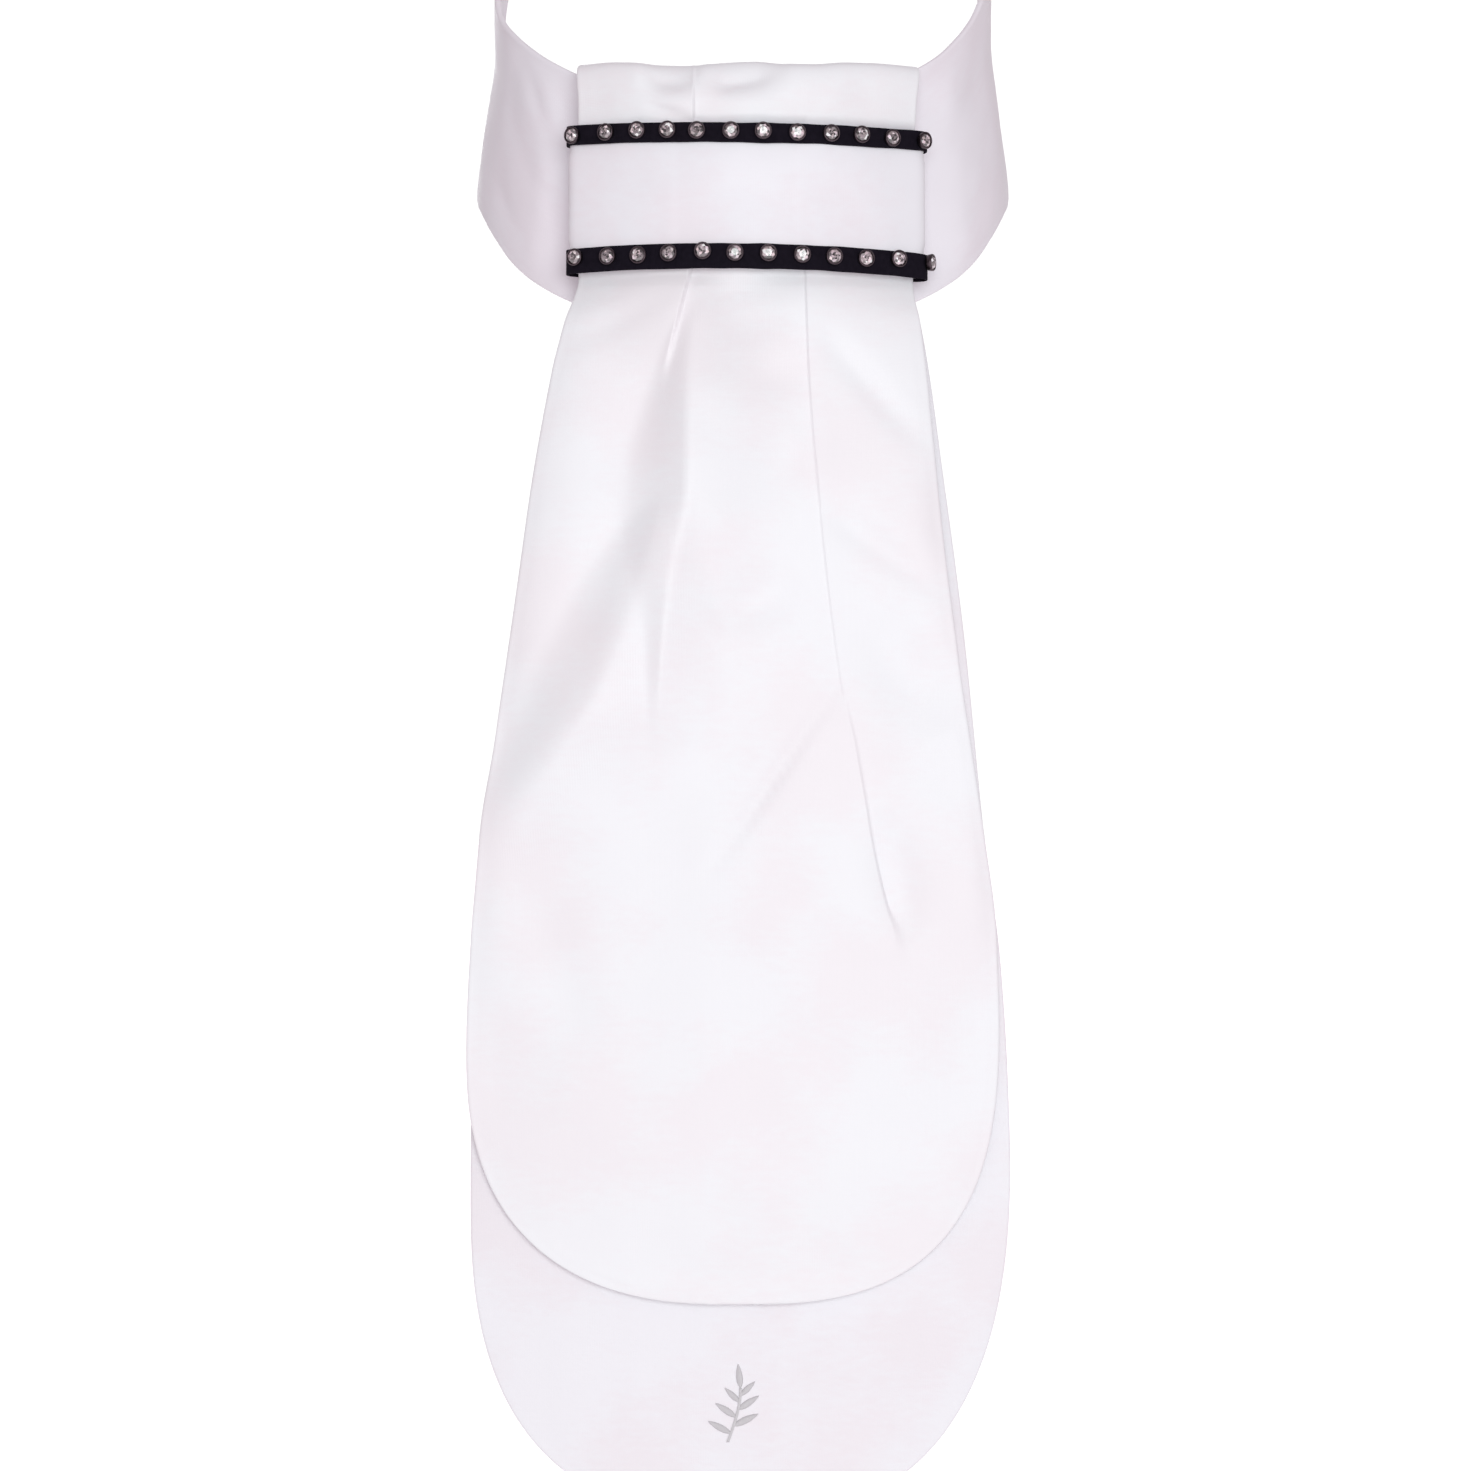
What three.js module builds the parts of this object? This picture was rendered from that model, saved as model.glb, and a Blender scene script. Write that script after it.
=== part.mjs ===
// A pre-tied satin riding cravat in its worn form, in millimetres, Z up, front towards -Y.
// The origin is the middle of the neck opening.
import * as THREE from "three";

// Driving dimensions
const CLOTH = 1.3; // pressed satin of the two tails
const GAP = 0.3; // air left between pieces that touch
const COLLAR_WALL = 1.7;
const COLLAR_EDGE = 0.3; // how much of the wall is left at a rolled edge
const COLLAR_STEPS = 60;
const COLLAR_CENTRE_X = 0.5;
const COLLAR_LAP = 20; // degrees that each end runs past the middle of the back
const LAP_STARTS = 132; // degrees from the front where the ends begin to part
const LAP_PARTED = 157;
const PATCH = { halfAngle: 17, height: 17, thick: 1.2, middle: 61.5, steps: 6 };

const KEEPER_CLOTH = 1.2;
const KEEPER_TOP = -14.2;
const KEEPER_FOOT = -51.1;
const KEEPER_SPREAD = 67.2; // half width of its curve in plan
const KEEPER_LEFT_TURN = -33.4; // degrees where the sleeve turns back round the tails
const KEEPER_RIGHT_TURN = 36.2;
const KEEPER_STEPS = { front: 16, turn: 6, back: 10 };
const BUNDLE_RADIUS = 70; // mean radius of the bundle's curve at the keeper
const RIBBON_THICK = 0.6;
const RIBBON_TURNS_TO = 125; // degrees round the sleeve's end where a ribbon stops
const RIBBONS = [
  { name: "upper", top: -14.3, height: 5.0 },
  { name: "lower", top: -44.75, height: 6.1 },
];
const SEAT_STEPS = 12; // fineness of the way along a ribbon on which the stones are placed

const CUP_RADIUS = 2.2;
const CUP_HEIGHT = 1.5;
const CUP_WALL = 0.28;
const CUP_FOOT_RADIUS = 2;
const CUP_SHOULDER = 1.2;
const CUP_SIDES = 12;
const STONE_RADIUS = 1.65;
const STONE_TABLE = 0.56; // share of the radius
const STONE_HEIGHTS = { girdleLow: 0.55, girdleTop: 0.7, table: 1.25 };
const STONE_SIDES = 12;

// Levels in the bundle, as the distance of the middle of each layer outside the collar's face
const LEVEL = { keeperBack: 1.1, backTail: 2.55, keeperFront: 7.85, inside: -3.6 };
const ROLL = { top: 1.25, level: 0.4, insideFoot: -3.2, legFoot: -15, foldsFrom: 60, steps: 7 };
const KNOT = { z: -8.5, level: 7.2 }; // its fullest line, where the roll ends
const ROLL_EDGE = { left: -38, right: 38 }; // its side edges where it crosses the collar's edge
const ROLL_NARROWS = { from: 0.8, to: 3 }; // levels between which it narrows to them
const FOLD_EDGE = 0.35; // half the width of a pressed pleat edge
const HEM_POWER = 2.6; // roundness of both tails' ends

// Lines across the keeper: how far each falls towards the right and how it droops at its ends
const KEEPER_LINES = [
  { z: KEEPER_TOP, fall: 0.0134, droop: -0.00023 },
  { z: KEEPER_FOOT, fall: 0.0105, droop: 0.00033 },
];

// Stones, set by hand: how far across each lies and how far above its ribbon's middle
const STONES = {
  upper: [
    { across: -42.4, rise: -0.2 },
    { across: -33.9, rise: 0.2 },
    { across: -26, rise: 0.5 },
    { across: -18.4, rise: 0.5 },
    { across: -11.1, rise: 0.3 },
    { across: -2.6, rise: 0.3 },
    { across: 5.4, rise: 0.35 },
    { across: 13.9, rise: 0.15 },
    { across: 22.4, rise: 0.25 },
    { across: 30, rise: 0.3 },
    { across: 37.8, rise: -0.1 },
    { across: 46, rise: -0.05 },
  ],
  lower: [
    { across: -41.7, rise: 0.7 },
    { across: -33.4, rise: 0.4 },
    { across: -25.7, rise: 0.3 },
    { across: -18.1, rise: 0.6 },
    { across: -9.6, rise: 1 },
    { across: -1.6, rise: 0.6 },
    { across: 6.7, rise: 0.6 },
    { across: 15.1, rise: 0.5 },
    { across: 23.1, rise: 0.4 },
    { across: 31.1, rise: 0.4 },
    { across: 39.4, rise: 1 },
    { across: 47.4, rise: 1 },
  ],
};

// Collar edges, by degrees round from the front: the upper one stands higher on the right
const COLLAR_EDGES = [
  { angle: 0, low: -66, topLeft: -9, topRight: -9 },
  { angle: 25, low: -62.5, topLeft: -5.6, topRight: -5.6 },
  { angle: 37, low: -57.9, topLeft: 0, topRight: 0.3 },
  { angle: 50, low: -51, topLeft: 6.5, topRight: 7.5 },
  { angle: 58, low: -45.4, topLeft: 11, topRight: 13.3 },
  { angle: 66, low: -38.5, topLeft: 15.6, topRight: 19.6 },
  { angle: 76, low: -31, topLeft: 21.3, topRight: 28.5 },
  { angle: 84, low: -26.3, topLeft: 27.2, topRight: 33.5 },
  { angle: 88, low: -13, topLeft: 31.6, topRight: 36.5 },
  { angle: 92, low: 2, topLeft: 36.4, topRight: 40.3 },
  { angle: 96, low: 16, topLeft: 41.6, topRight: 44.6 },
  { angle: 100, low: 27, topLeft: 46.8, topRight: 49 },
  { angle: 104, low: 33, topLeft: 51.5, topRight: 53 },
  { angle: 112, low: 36.5, topLeft: 57.5, topRight: 58.3 },
  { angle: 124, low: 40, topLeft: 63.8, topRight: 64 },
  { angle: 142, low: 45, topLeft: 70.5, topRight: 70.5 },
  { angle: 160, low: 48, topLeft: 73.2, topRight: 73.2 },
  { angle: 180, low: 49, topLeft: 74, topRight: 74 },
  { angle: 200, low: 48, topLeft: 73.2, topRight: 73.2 },
];

// Outer size of the collar in plan, by share of its height
const COLLAR_PLAN = [
  { share: 0, halfWidth: 71.1, depth: 60 },
  { share: 0.3, halfWidth: 69.3, depth: 59.2 },
  { share: 0.5, halfWidth: 67.7, depth: 58.7 },
  { share: 0.72, halfWidth: 66.2, depth: 58.1 },
  { share: 1, halfWidth: 66.3, depth: 57.5 },
];
const COLLAR_CLIMB = 84; // degrees from the front where the lower edge starts to climb
const COLLAR_ROWS = [0, 0.012, 0.3, 0.5, 0.72, 0.988, 1]; // shares of its height with a row of points

// How the bundle hangs: half width of its curve in plan, and the place of its crown
const HANG = [
  { z: 5, spread: 65.6, crown: -57.2 },
  { z: -10, spread: 66.9, crown: -57.95 },
  { z: -51, spread: 70.5, crown: -59.8 },
  { z: -75, spread: 84, crown: -60.6 },
  { z: -100, spread: 102, crown: -61.6 },
  { z: -140, spread: 135, crown: -62.8 },
  { z: -200, spread: 170, crown: -64.2 },
  { z: -260, spread: 190, crown: -64.8 },
  { z: -310, spread: 200, crown: -64.9 },
  { z: -364, spread: 205, crown: -64.6 },
];
const CROWN_DEPTH = 59; // depth of the plan curve, front to back

// Front tail: its side edges and the two pressed pleat lines
const FRONT_TAIL = [
  { z: 5, left: -41.3, leftPleat: -12.1, rightPleat: 16.6, right: 45.0 },
  { z: -15, left: -41.3, leftPleat: -12.1, rightPleat: 16.6, right: 44.1 },
  { z: -52, left: -41.2, leftPleat: -12.9, rightPleat: 16.2, right: 43.5 },
  { z: -58, left: -42.9, leftPleat: -14, rightPleat: 16.3, right: 44.3 },
  { z: -74, left: -46.6, leftPleat: -18.6, rightPleat: 17, right: 46 },
  { z: -104, left: -51.9, leftPleat: -20, rightPleat: 19.4, right: 48.9 },
  { z: -134, left: -56.4, leftPleat: -20.4, rightPleat: 22.3, right: 52.4 },
  { z: -164, left: -61.1, leftPleat: -21, rightPleat: 26.9, right: 56.5 },
  { z: -194, left: -65.4, leftPleat: -23, rightPleat: 32.2, right: 60.8 },
  { z: -218, left: -67.8, leftPleat: -24, rightPleat: 37.8, right: 63.9 },
  { z: -247, left: -69, leftPleat: -24.5, rightPleat: 37.5, right: 64.7 },
];

// How far its middle stands off the collar: full in the knot, flat under the keeper, then
// a little fuller again as it falls
const FRONT_LEVEL = [
  { z: -8.5, level: 7.2 },
  { z: -10.8, level: 7 },
  { z: -12.8, level: 5.8 },
  { z: -14.8, level: 4.45 },
  { z: -52, level: 4.45 },
  { z: -55, level: 5.9 },
  { z: -61, level: 7.2 },
  { z: -72, level: 7.6 },
  { z: -90, level: 7.5 },
  { z: -120, level: 7.2 },
  { z: -164, level: 6.4 },
  { z: -218, level: 5.8 },
  { z: -247, level: 5.6 },
];
const FRONT_HEM = { foot: -310.2, left: -247, right: -235 }; // heights where it ends and rounds begin

// Back tail: its side edges
const BACK_TAIL = [
  { z: -7, left: -38.2, right: 41.2 },
  { z: -52, left: -38.9, right: 41.9 },
  { z: -60, left: -42.3, right: 44.9 },
  { z: -104, left: -50.6, right: 51.3 },
  { z: -144, left: -56.8, right: 56.3 },
  { z: -194, left: -64, right: 61.2 },
  { z: -224, left: -66.8, right: 65.1 },
  { z: -254, left: -67.8, right: 67 },
  { z: -280, left: -68.1, right: 67.7 },
];
const BACK_HEM = { foot: -364, left: -284, right: -270 };

// Folds of the front tail. Each row gives where the crest lies, how far it rises, how wide
// its flanks are on the left and on the right, and how round its crest is, from 0 for a
// sharp one to 2.
const FOLDS = {
  leftPleatEdge: [
    { z: 5, x: -12.1, rise: 1.1, left: 24, right: 0.7, round: 2 },
    { z: -48, x: -12.6, rise: 1.6, left: 24, right: 0.7, round: 2 },
    { z: -60, x: -15.2, rise: 1.9, left: 20, right: 1, round: 2 },
    { z: -70, x: -17.6, rise: 1.5, left: 16, right: 1.6, round: 2 },
    { z: -82, x: -20.4, rise: 0, left: 12, right: 3, round: 2 },
  ],
  rightPleatEdge: [
    { z: 5, x: 16.6, rise: 0.9, left: 0.7, right: 24, round: 2 },
    { z: -48, x: 16.2, rise: 1, left: 0.7, right: 24, round: 2 },
    { z: -74, x: 17, rise: 0.7, left: 0.7, right: 25, round: 2 },
    { z: -114, x: 20.1, rise: 0.5, left: 0.7, right: 26, round: 2 },
    { z: -154, x: 25.1, rise: 0.3, left: 0.8, right: 26, round: 2 },
    { z: -166, x: 27.2, rise: 0, left: 1, right: 26, round: 2 },
  ],
  centreHollow: [
    { z: -51, x: -1, rise: 0, left: 12, right: 16, round: 2 },
    { z: -56, x: -1, rise: -1.8, left: 12, right: 16, round: 2 },
    { z: -64, x: -2, rise: -2.4, left: 13, right: 17, round: 2 },
    { z: -74, x: -3, rise: -1.4, left: 14, right: 18, round: 2 },
    { z: -88, x: -4, rise: 0, left: 14, right: 18, round: 2 },
  ],
  centreRoll: [
    { z: -57, x: -9.5, rise: 0, left: 4.5, right: 20, round: 2 },
    { z: -65, x: -11, rise: 2, left: 5.5, right: 21, round: 1.6 },
    { z: -75, x: -12.2, rise: 4, left: 7.5, right: 24, round: 1.2 },
    { z: -86, x: -12.6, rise: 5.4, left: 10, right: 27, round: 0.8 },
    { z: -98, x: -12.4, rise: 6.2, left: 14, right: 30, round: 0.5 },
    { z: -111, x: -13.2, rise: 6.3, left: 15, right: 31, round: 0.4 },
    { z: -123, x: -15.4, rise: 5.4, left: 12, right: 31, round: 0.5 },
    { z: -137, x: -17.6, rise: 4.1, left: 7.5, right: 31, round: 0.8 },
    { z: -150, x: -19, rise: 2.8, left: 5, right: 31, round: 1 },
    { z: -163, x: -19.8, rise: 1.2, left: 4, right: 30, round: 1.5 },
    { z: -176, x: -20.2, rise: 0, left: 4, right: 28, round: 2 },
  ],
  leftSwell: [
    { z: -56, x: -34, rise: 0, left: 10, right: 16, round: 2 },
    { z: -72, x: -36, rise: 1.2, left: 12, right: 16, round: 2 },
    { z: -100, x: -42, rise: 2.2, left: 12, right: 19, round: 2 },
    { z: -130, x: -47, rise: 2.2, left: 12, right: 20, round: 2 },
    { z: -156, x: -53, rise: 1.2, left: 10, right: 16, round: 2 },
    { z: -172, x: -57, rise: 0, left: 8, right: 14, round: 2 },
  ],
  leftDiagonal: [
    { z: -106, x: -18.4, rise: 0, left: 5, right: 8, round: 2 },
    { z: -118, x: -21, rise: 1.8, left: 8, right: 12, round: 1.8 },
    { z: -130, x: -24.4, rise: 3.8, left: 12, right: 18, round: 1.6 },
    { z: -145, x: -29, rise: 5.6, left: 16, right: 26, round: 1.6 },
    { z: -160, x: -35.6, rise: 6, left: 18, right: 34, round: 1.6 },
    { z: -174, x: -44.4, rise: 4.8, left: 19, right: 40, round: 1.6 },
    { z: -188, x: -53, rise: 2.8, left: 18, right: 44, round: 1.8 },
    { z: -210, x: -60, rise: 0, left: 14, right: 46, round: 2 },
  ],
  rightPleatFoot: [
    { z: -152, x: 24.7, rise: 0, left: 24, right: 1, round: 2 },
    { z: -170, x: 28, rise: 0.4, left: 25, right: 1, round: 2 },
    { z: -195, x: 32.4, rise: 0.9, left: 26, right: 1, round: 2 },
    { z: -211, x: 36, rise: 1.2, left: 26, right: 1.2, round: 2 },
    { z: -218, x: 37.8, rise: 0.8, left: 26, right: 3, round: 2 },
    { z: -228, x: 37.8, rise: 0, left: 26, right: 6, round: 2 },
  ],
  rightEdgeSwell: [
    { z: -60, x: 36, rise: 0, left: 16, right: 12, round: 2 },
    { z: -84, x: 39, rise: 1.3, left: 18, right: 13, round: 2 },
    { z: -112, x: 42, rise: 1.5, left: 20, right: 13, round: 2 },
    { z: -140, x: 48, rise: 1, left: 18, right: 11, round: 2 },
    { z: -165, x: 53, rise: 0.8, left: 16, right: 9, round: 2 },
    { z: -205, x: 57, rise: 1.4, left: 17, right: 9, round: 2 },
    { z: -236, x: 58, rise: 0, left: 18, right: 9, round: 2 },
  ],
};

// Rows and columns of the cloth meshes
const PANEL_COLUMNS = { left: 8, centre: 7, right: 7 };
const HEM_STEPS = 8;
const HEM_LAST = 86; // degrees of the round end at which the last row lies
const FRONT_ROWS = [
  -10.8, -12.8, -14.8, -52, -55, -61, -67, -74, -81, -88, -95, -102, -110, -118, -126,
  -134, -142, -150, -158, -167, -176, -187, -199, -209, -218, -227, -235,
];
const BACK_ROWS = [-7, -28, -52, -60, -75, -90, -104, -124, -144, -170, -194, -224, -250, -270];
const BACK_COLUMNS = 10;

const RAD = Math.PI / 180;
const part = new THREE.Group();

// Materials
const satin = new THREE.MeshStandardMaterial({ color: "#f3eff4", roughness: 0.42, metalness: 0 });
const keeperSatin = new THREE.MeshStandardMaterial({ color: "#efebf0", roughness: 0.45, metalness: 0 });
const ribbonBlack = new THREE.MeshStandardMaterial({ color: "#1e151b", roughness: 0.75, metalness: 0 });
const metal = new THREE.MeshStandardMaterial({ color: "#8d8a90", roughness: 0.28, metalness: 1 });
const crystal = new THREE.MeshStandardMaterial({ color: "#e6e4ea", roughness: 0.05, metalness: 0 });
const hookTape = new THREE.MeshStandardMaterial({ color: "#f0eef2", roughness: 0.9, metalness: 0 });

// Slope of a table's curve at one row, kept from overshooting its neighbours
function slopeAt(rows, index, key, column) {
  const before = rows[index - 1];
  const here = rows[index];
  const after = rows[index + 1];
  if (!before || !after) return 0;
  const rise = (here[column] - before[column]) / (here[key] - before[key]);
  const next = (after[column] - here[column]) / (after[key] - here[key]);
  if (rise * next <= 0) return 0;
  return (2 * rise * next) / (rise + next);
}

// One column of a table, read on a smooth curve between its rows
function readTable(rows, key, at, column) {
  const falling = rows[0][key] > rows[rows.length - 1][key];
  const passed = (row) => (falling ? row[key] <= at : row[key] >= at);
  const index = rows.findIndex(passed);
  if (index === 0) return rows[0][column];
  if (index < 0) return rows[rows.length - 1][column];
  const start = rows[index - 1];
  const end = rows[index];
  const length = end[key] - start[key];
  const t = (at - start[key]) / length;
  const startSlope = slopeAt(rows, index - 1, key, column) * length;
  const endSlope = slopeAt(rows, index, key, column) * length;
  const startPart = start[column] * (1 + 2 * t) * (1 - t) ** 2 + startSlope * t * (1 - t) ** 2;
  const endPart = end[column] * t * t * (3 - 2 * t) - endSlope * t * t * (1 - t);
  return startPart + endPart;
}

function blend(start, end, t) {
  return start + (end - start) * t;
}

function smooth(start, end, at) {
  return THREE.MathUtils.smoothstep(at, start, end);
}

// A closed solid lofted through sections. Each section is a flat list of points round the
// piece: its outer side, then its inner side in return order. The ends are closed unless
// the path itself closes.
function loft(name, sections, material, closedPath = false) {
  const around = sections[0].length;
  const positions = sections.flatMap((section) => section.flatMap((point) => point.toArray()));
  const faces = [];
  const spans = closedPath ? sections.length : sections.length - 1;
  for (let i = 0; i < spans; i += 1) {
    const here = i * around;
    const next = ((i + 1) % sections.length) * around;
    for (let j = 0; j < around; j += 1) {
      const k = (j + 1) % around;
      faces.push(here + j, next + j, next + k);
      faces.push(here + j, next + k, here + k);
    }
  }
  if (!closedPath) {
    const last = (sections.length - 1) * around;
    for (let j = 0; j < around / 2 - 1; j += 1) {
      const back = around - 1 - j;
      faces.push(j, j + 1, back - 1, j, back - 1, back);
      faces.push(last + j, last + back - 1, last + j + 1, last + j, last + back, last + back - 1);
    }
  }
  return solid(name, positions, faces, material);
}

// A mesh from points and triangles, turned so that its faces point out
function solid(name, positions, faces, material) {
  let volume = 0;
  const corner = (index) => new THREE.Vector3().fromArray(positions, 3 * index);
  for (let i = 0; i < faces.length; i += 3) {
    volume += corner(faces[i]).dot(corner(faces[i + 1]).cross(corner(faces[i + 2])));
  }
  const outward = volume > 0 ? faces : faces.slice().reverse();
  const geometry = new THREE.BufferGeometry();
  geometry.setAttribute("position", new THREE.Float32BufferAttribute(positions, 3));
  geometry.setIndex(outward);
  geometry.computeVertexNormals();
  const mesh = new THREE.Mesh(geometry, material);
  mesh.name = name;
  part.add(mesh);
  return mesh;
}

// A point of the bundle: x as given on the layer that stands `level` off the collar,
// then moved out by a further distance
function bundlePoint(x, z, level, out) {
  const spread = readTable(HANG, "z", z, "spread");
  const crown = readTable(HANG, "z", z, "crown");
  const sine = x / (spread + level);
  const reach = level + out;
  const drop = (CROWN_DEPTH + reach) * (1 - Math.sqrt(1 - sine * sine));
  return new THREE.Vector3(sine * (spread + reach), crown - reach + drop, z);
}

// One fold's rise at a place on the cloth
function foldRise(rows, x, z) {
  if (z < rows[rows.length - 1].z || z > rows[0].z) return 0;
  const crest = readTable(rows, "z", z, "x");
  const side = x < crest ? "left" : "right";
  const width = readTable(rows, "z", z, side);
  const rise = readTable(rows, "z", z, "rise");
  const round = readTable(rows, "z", z, "round");
  const away = Math.min(1, Math.abs(x - crest) / width);
  return rise * (1 - away) ** 2 * (1 + round * away);
}

function frontRelief(x, z) {
  return Object.values(FOLDS).reduce((sum, rows) => sum + foldRise(rows, x, z), 0);
}

function spaced(from, to, count) {
  return Array.from({ length: count + 1 }, (_, i) => blend(from, to, i / count));
}

// Columns of the front tail: even across each panel, with a pair at each pressed pleat edge
function panelColumns(left, leftPleat, rightPleat, right) {
  return [
    ...spaced(left, leftPleat - FOLD_EDGE, PANEL_COLUMNS.left),
    ...spaced(leftPleat + FOLD_EDGE, rightPleat - FOLD_EDGE, PANEL_COLUMNS.centre),
    ...spaced(rightPleat + FOLD_EDGE, right, PANEL_COLUMNS.right),
  ];
}

// Share of the width left at a height in a tail's round end, 1 above where it begins
function roundEnd(begins, foot, z) {
  const share = Math.max(0, (begins - z) / (begins - foot));
  return (1 - share ** HEM_POWER) ** (1 / HEM_POWER);
}

// A tail's columns drawn in by its round end, each side from where its own curve begins
function hemColumns(columns, hem, z) {
  const centre = (columns[0] + columns[columns.length - 1]) / 2;
  return columns.map((x) => {
    const begins = x < centre ? hem.left : hem.right;
    return centre + (x - centre) * roundEnd(begins, hem.foot, z);
  });
}

// Heights of the rows in a round end, closer together towards its foot
function hemRows(hem) {
  const start = Math.max(hem.left, hem.right);
  return spaced(0, HEM_LAST, HEM_STEPS)
    .slice(1)
    .map((angle) => blend(start, hem.foot, Math.sin(angle * RAD)));
}

// One section of a sheet: its front points from left to right, then its back points in return
function sheetSection(columns, pointAt) {
  const outer = columns.map((x) => pointAt(x, CLOTH / 2));
  const inner = columns.map((x) => pointAt(x, -CLOTH / 2));
  return [...outer, ...inner.reverse()];
}

// The roll over the top of the knot: a leg inside the collar, then two quarters of a curve
// that meet on its highest line
function rollSections() {
  const top = FRONT_TAIL[0];
  const columnsAt = (share) => {
    const left = blend(ROLL_EDGE.left, top.left, share);
    const right = blend(ROLL_EDGE.right, top.right, share);
    return panelColumns(left, top.leftPleat, top.rightPleat, right);
  };
  const leg = (x, out) => bundlePoint(x, ROLL.legFoot, LEVEL.inside, -out);
  const arch = spaced(0, 180, ROLL.steps).map((angle) => {
    const inside = angle < 90;
    const span = inside ? ROLL.level - LEVEL.inside : KNOT.level - ROLL.level;
    const drop = inside ? ROLL.top - ROLL.insideFoot : ROLL.top - KNOT.z;
    const across = -Math.cos(angle * RAD);
    const up = Math.sin(angle * RAD);
    const level = ROLL.level + span * across;
    const z = ROLL.top - drop * (1 - up);
    const way = new THREE.Vector2(across / span, up / drop).normalize();
    const folded = smooth(ROLL.foldsFrom, 180, angle);
    const pointAt = (x, out) => {
      const lift = out + frontRelief(x, z) * folded;
      const point = bundlePoint(x, z, level, lift * way.x);
      point.z += lift * way.y;
      return point;
    };
    return sheetSection(columnsAt(smooth(ROLL_NARROWS.from, ROLL_NARROWS.to, level)), pointAt);
  });
  return [sheetSection(columnsAt(0), leg), ...arch];
}

// The front tail rolls over the knot's top and falls to a round hem
function frontTailSections() {
  const heights = [...FRONT_ROWS, ...hemRows(FRONT_HEM)];
  const fall = heights.map((z) => {
    const read = (column) => readTable(FRONT_TAIL, "z", z, column);
    const panels = panelColumns(read("left"), read("leftPleat"), read("rightPleat"), read("right"));
    const columns = hemColumns(panels, FRONT_HEM, z);
    const level = readTable(FRONT_LEVEL, "z", z, "level");
    return sheetSection(columns, (x, out) => bundlePoint(x, z, level, out + frontRelief(x, z)));
  });
  return [...rollSections(), ...fall];
}

// The back tail hangs from its top edge behind the knot to a round hem
function backTailSections() {
  return [...BACK_ROWS, ...hemRows(BACK_HEM)].map((z) => {
    const left = readTable(BACK_TAIL, "z", z, "left");
    const right = readTable(BACK_TAIL, "z", z, "right");
    const columns = hemColumns(spaced(left, right, BACK_COLUMNS), BACK_HEM, z);
    return sheetSection(columns, (x, out) => bundlePoint(x, z, LEVEL.backTail, out));
  });
}

// Heights of the collar's two edges at an angle from the front
function collarEdges(angle) {
  const turn = Math.abs(angle);
  const low = readTable(COLLAR_EDGES, "angle", turn, "low");
  const top = readTable(COLLAR_EDGES, "angle", turn, angle < 0 ? "topLeft" : "topRight");
  return { low, top };
}

// A point on the collar: degrees round from the front, share of its height, distance outside.
// Where the lower edge climbs, each height keeps the size in plan that it has at the sides.
function collarPoint(angle, share, out) {
  const { low, top } = collarEdges(angle);
  const z = blend(low, top, share);
  const side = collarEdges(Math.max(-COLLAR_CLIMB, Math.min(COLLAR_CLIMB, angle)));
  const sideShare = (z - side.low) / (side.top - side.low);
  const halfWidth = readTable(COLLAR_PLAN, "share", sideShare, "halfWidth") + out;
  const depth = readTable(COLLAR_PLAN, "share", sideShare, "depth") + out;
  const x = COLLAR_CENTRE_X + halfWidth * Math.sin(angle * RAD);
  return new THREE.Vector3(x, -depth * Math.cos(angle * RAD), z);
}

// How far each end of the collar parts from the other: the right end lies outside
function lapShift(angle) {
  const half = (COLLAR_WALL + PATCH.thick) / 2 + GAP;
  return Math.sign(angle) * half * smooth(LAP_STARTS, LAP_PARTED, Math.abs(angle));
}

// The collar: a folded band with rolled edges, open at the back where its ends lap
function collarSections() {
  const end = 180 + COLLAR_LAP;
  return spaced(-end, end, COLLAR_STEPS).map((angle) => {
    const middle = lapShift(angle) - COLLAR_WALL / 2;
    const halfWall = (share) => (COLLAR_WALL / 2) * (share === 0 || share === 1 ? COLLAR_EDGE : 1);
    const outer = COLLAR_ROWS.map((share) => collarPoint(angle, share, middle + halfWall(share)));
    const inner = COLLAR_ROWS.map((share) => collarPoint(angle, share, middle - halfWall(share)));
    return [...outer, ...inner.reverse()];
  });
}

// The closure: a plain patch of hook tape between the lapped ends
function patchSections() {
  return spaced(180 - PATCH.halfAngle, 180 + PATCH.halfAngle, PATCH.steps).map((angle) => {
    const foot = PATCH.middle - PATCH.height / 2;
    const { low, top } = collarEdges(angle);
    const shares = [foot, foot + PATCH.height].map((z) => (z - low) / (top - low));
    const outer = shares.map((share) => collarPoint(angle, share, (PATCH.thick - COLLAR_WALL) / 2));
    const inner = shares.map((share) => collarPoint(angle, share, -(PATCH.thick + COLLAR_WALL) / 2));
    return [...outer, ...inner.reverse()];
  });
}

// The sleeve's way round the bundle, as seen from above: across the front, round each
// end of the bundle, and back between the tails and the collar
const TURN_MIDDLE = (LEVEL.keeperFront + LEVEL.keeperBack) / 2;
const TURN_RADIUS = (LEVEL.keeperFront - LEVEL.keeperBack) / 2;
const DEGREES_PER_MM = 1 / (BUNDLE_RADIUS * RAD);

// A place on that way: degrees round from the front, and level off the collar
function turnPlace(endAngle, side, angle, extra) {
  const radius = TURN_RADIUS + extra;
  const past = side * radius * Math.sin(angle * RAD) * DEGREES_PER_MM;
  return { angle: endAngle + past, level: TURN_MIDDLE + radius * Math.cos(angle * RAD) };
}

// The point of the sleeve at such a place, its ends upright however the bundle spreads
function sleevePoint(place, z) {
  const x = (KEEPER_SPREAD + place.level) * Math.sin(place.angle * RAD);
  const point = bundlePoint(x, z, place.level, 0);
  const fall = readTable(KEEPER_LINES, "z", z, "fall");
  const droop = readTable(KEEPER_LINES, "z", z, "droop");
  point.z -= fall * x + droop * x * x;
  return point;
}

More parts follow.
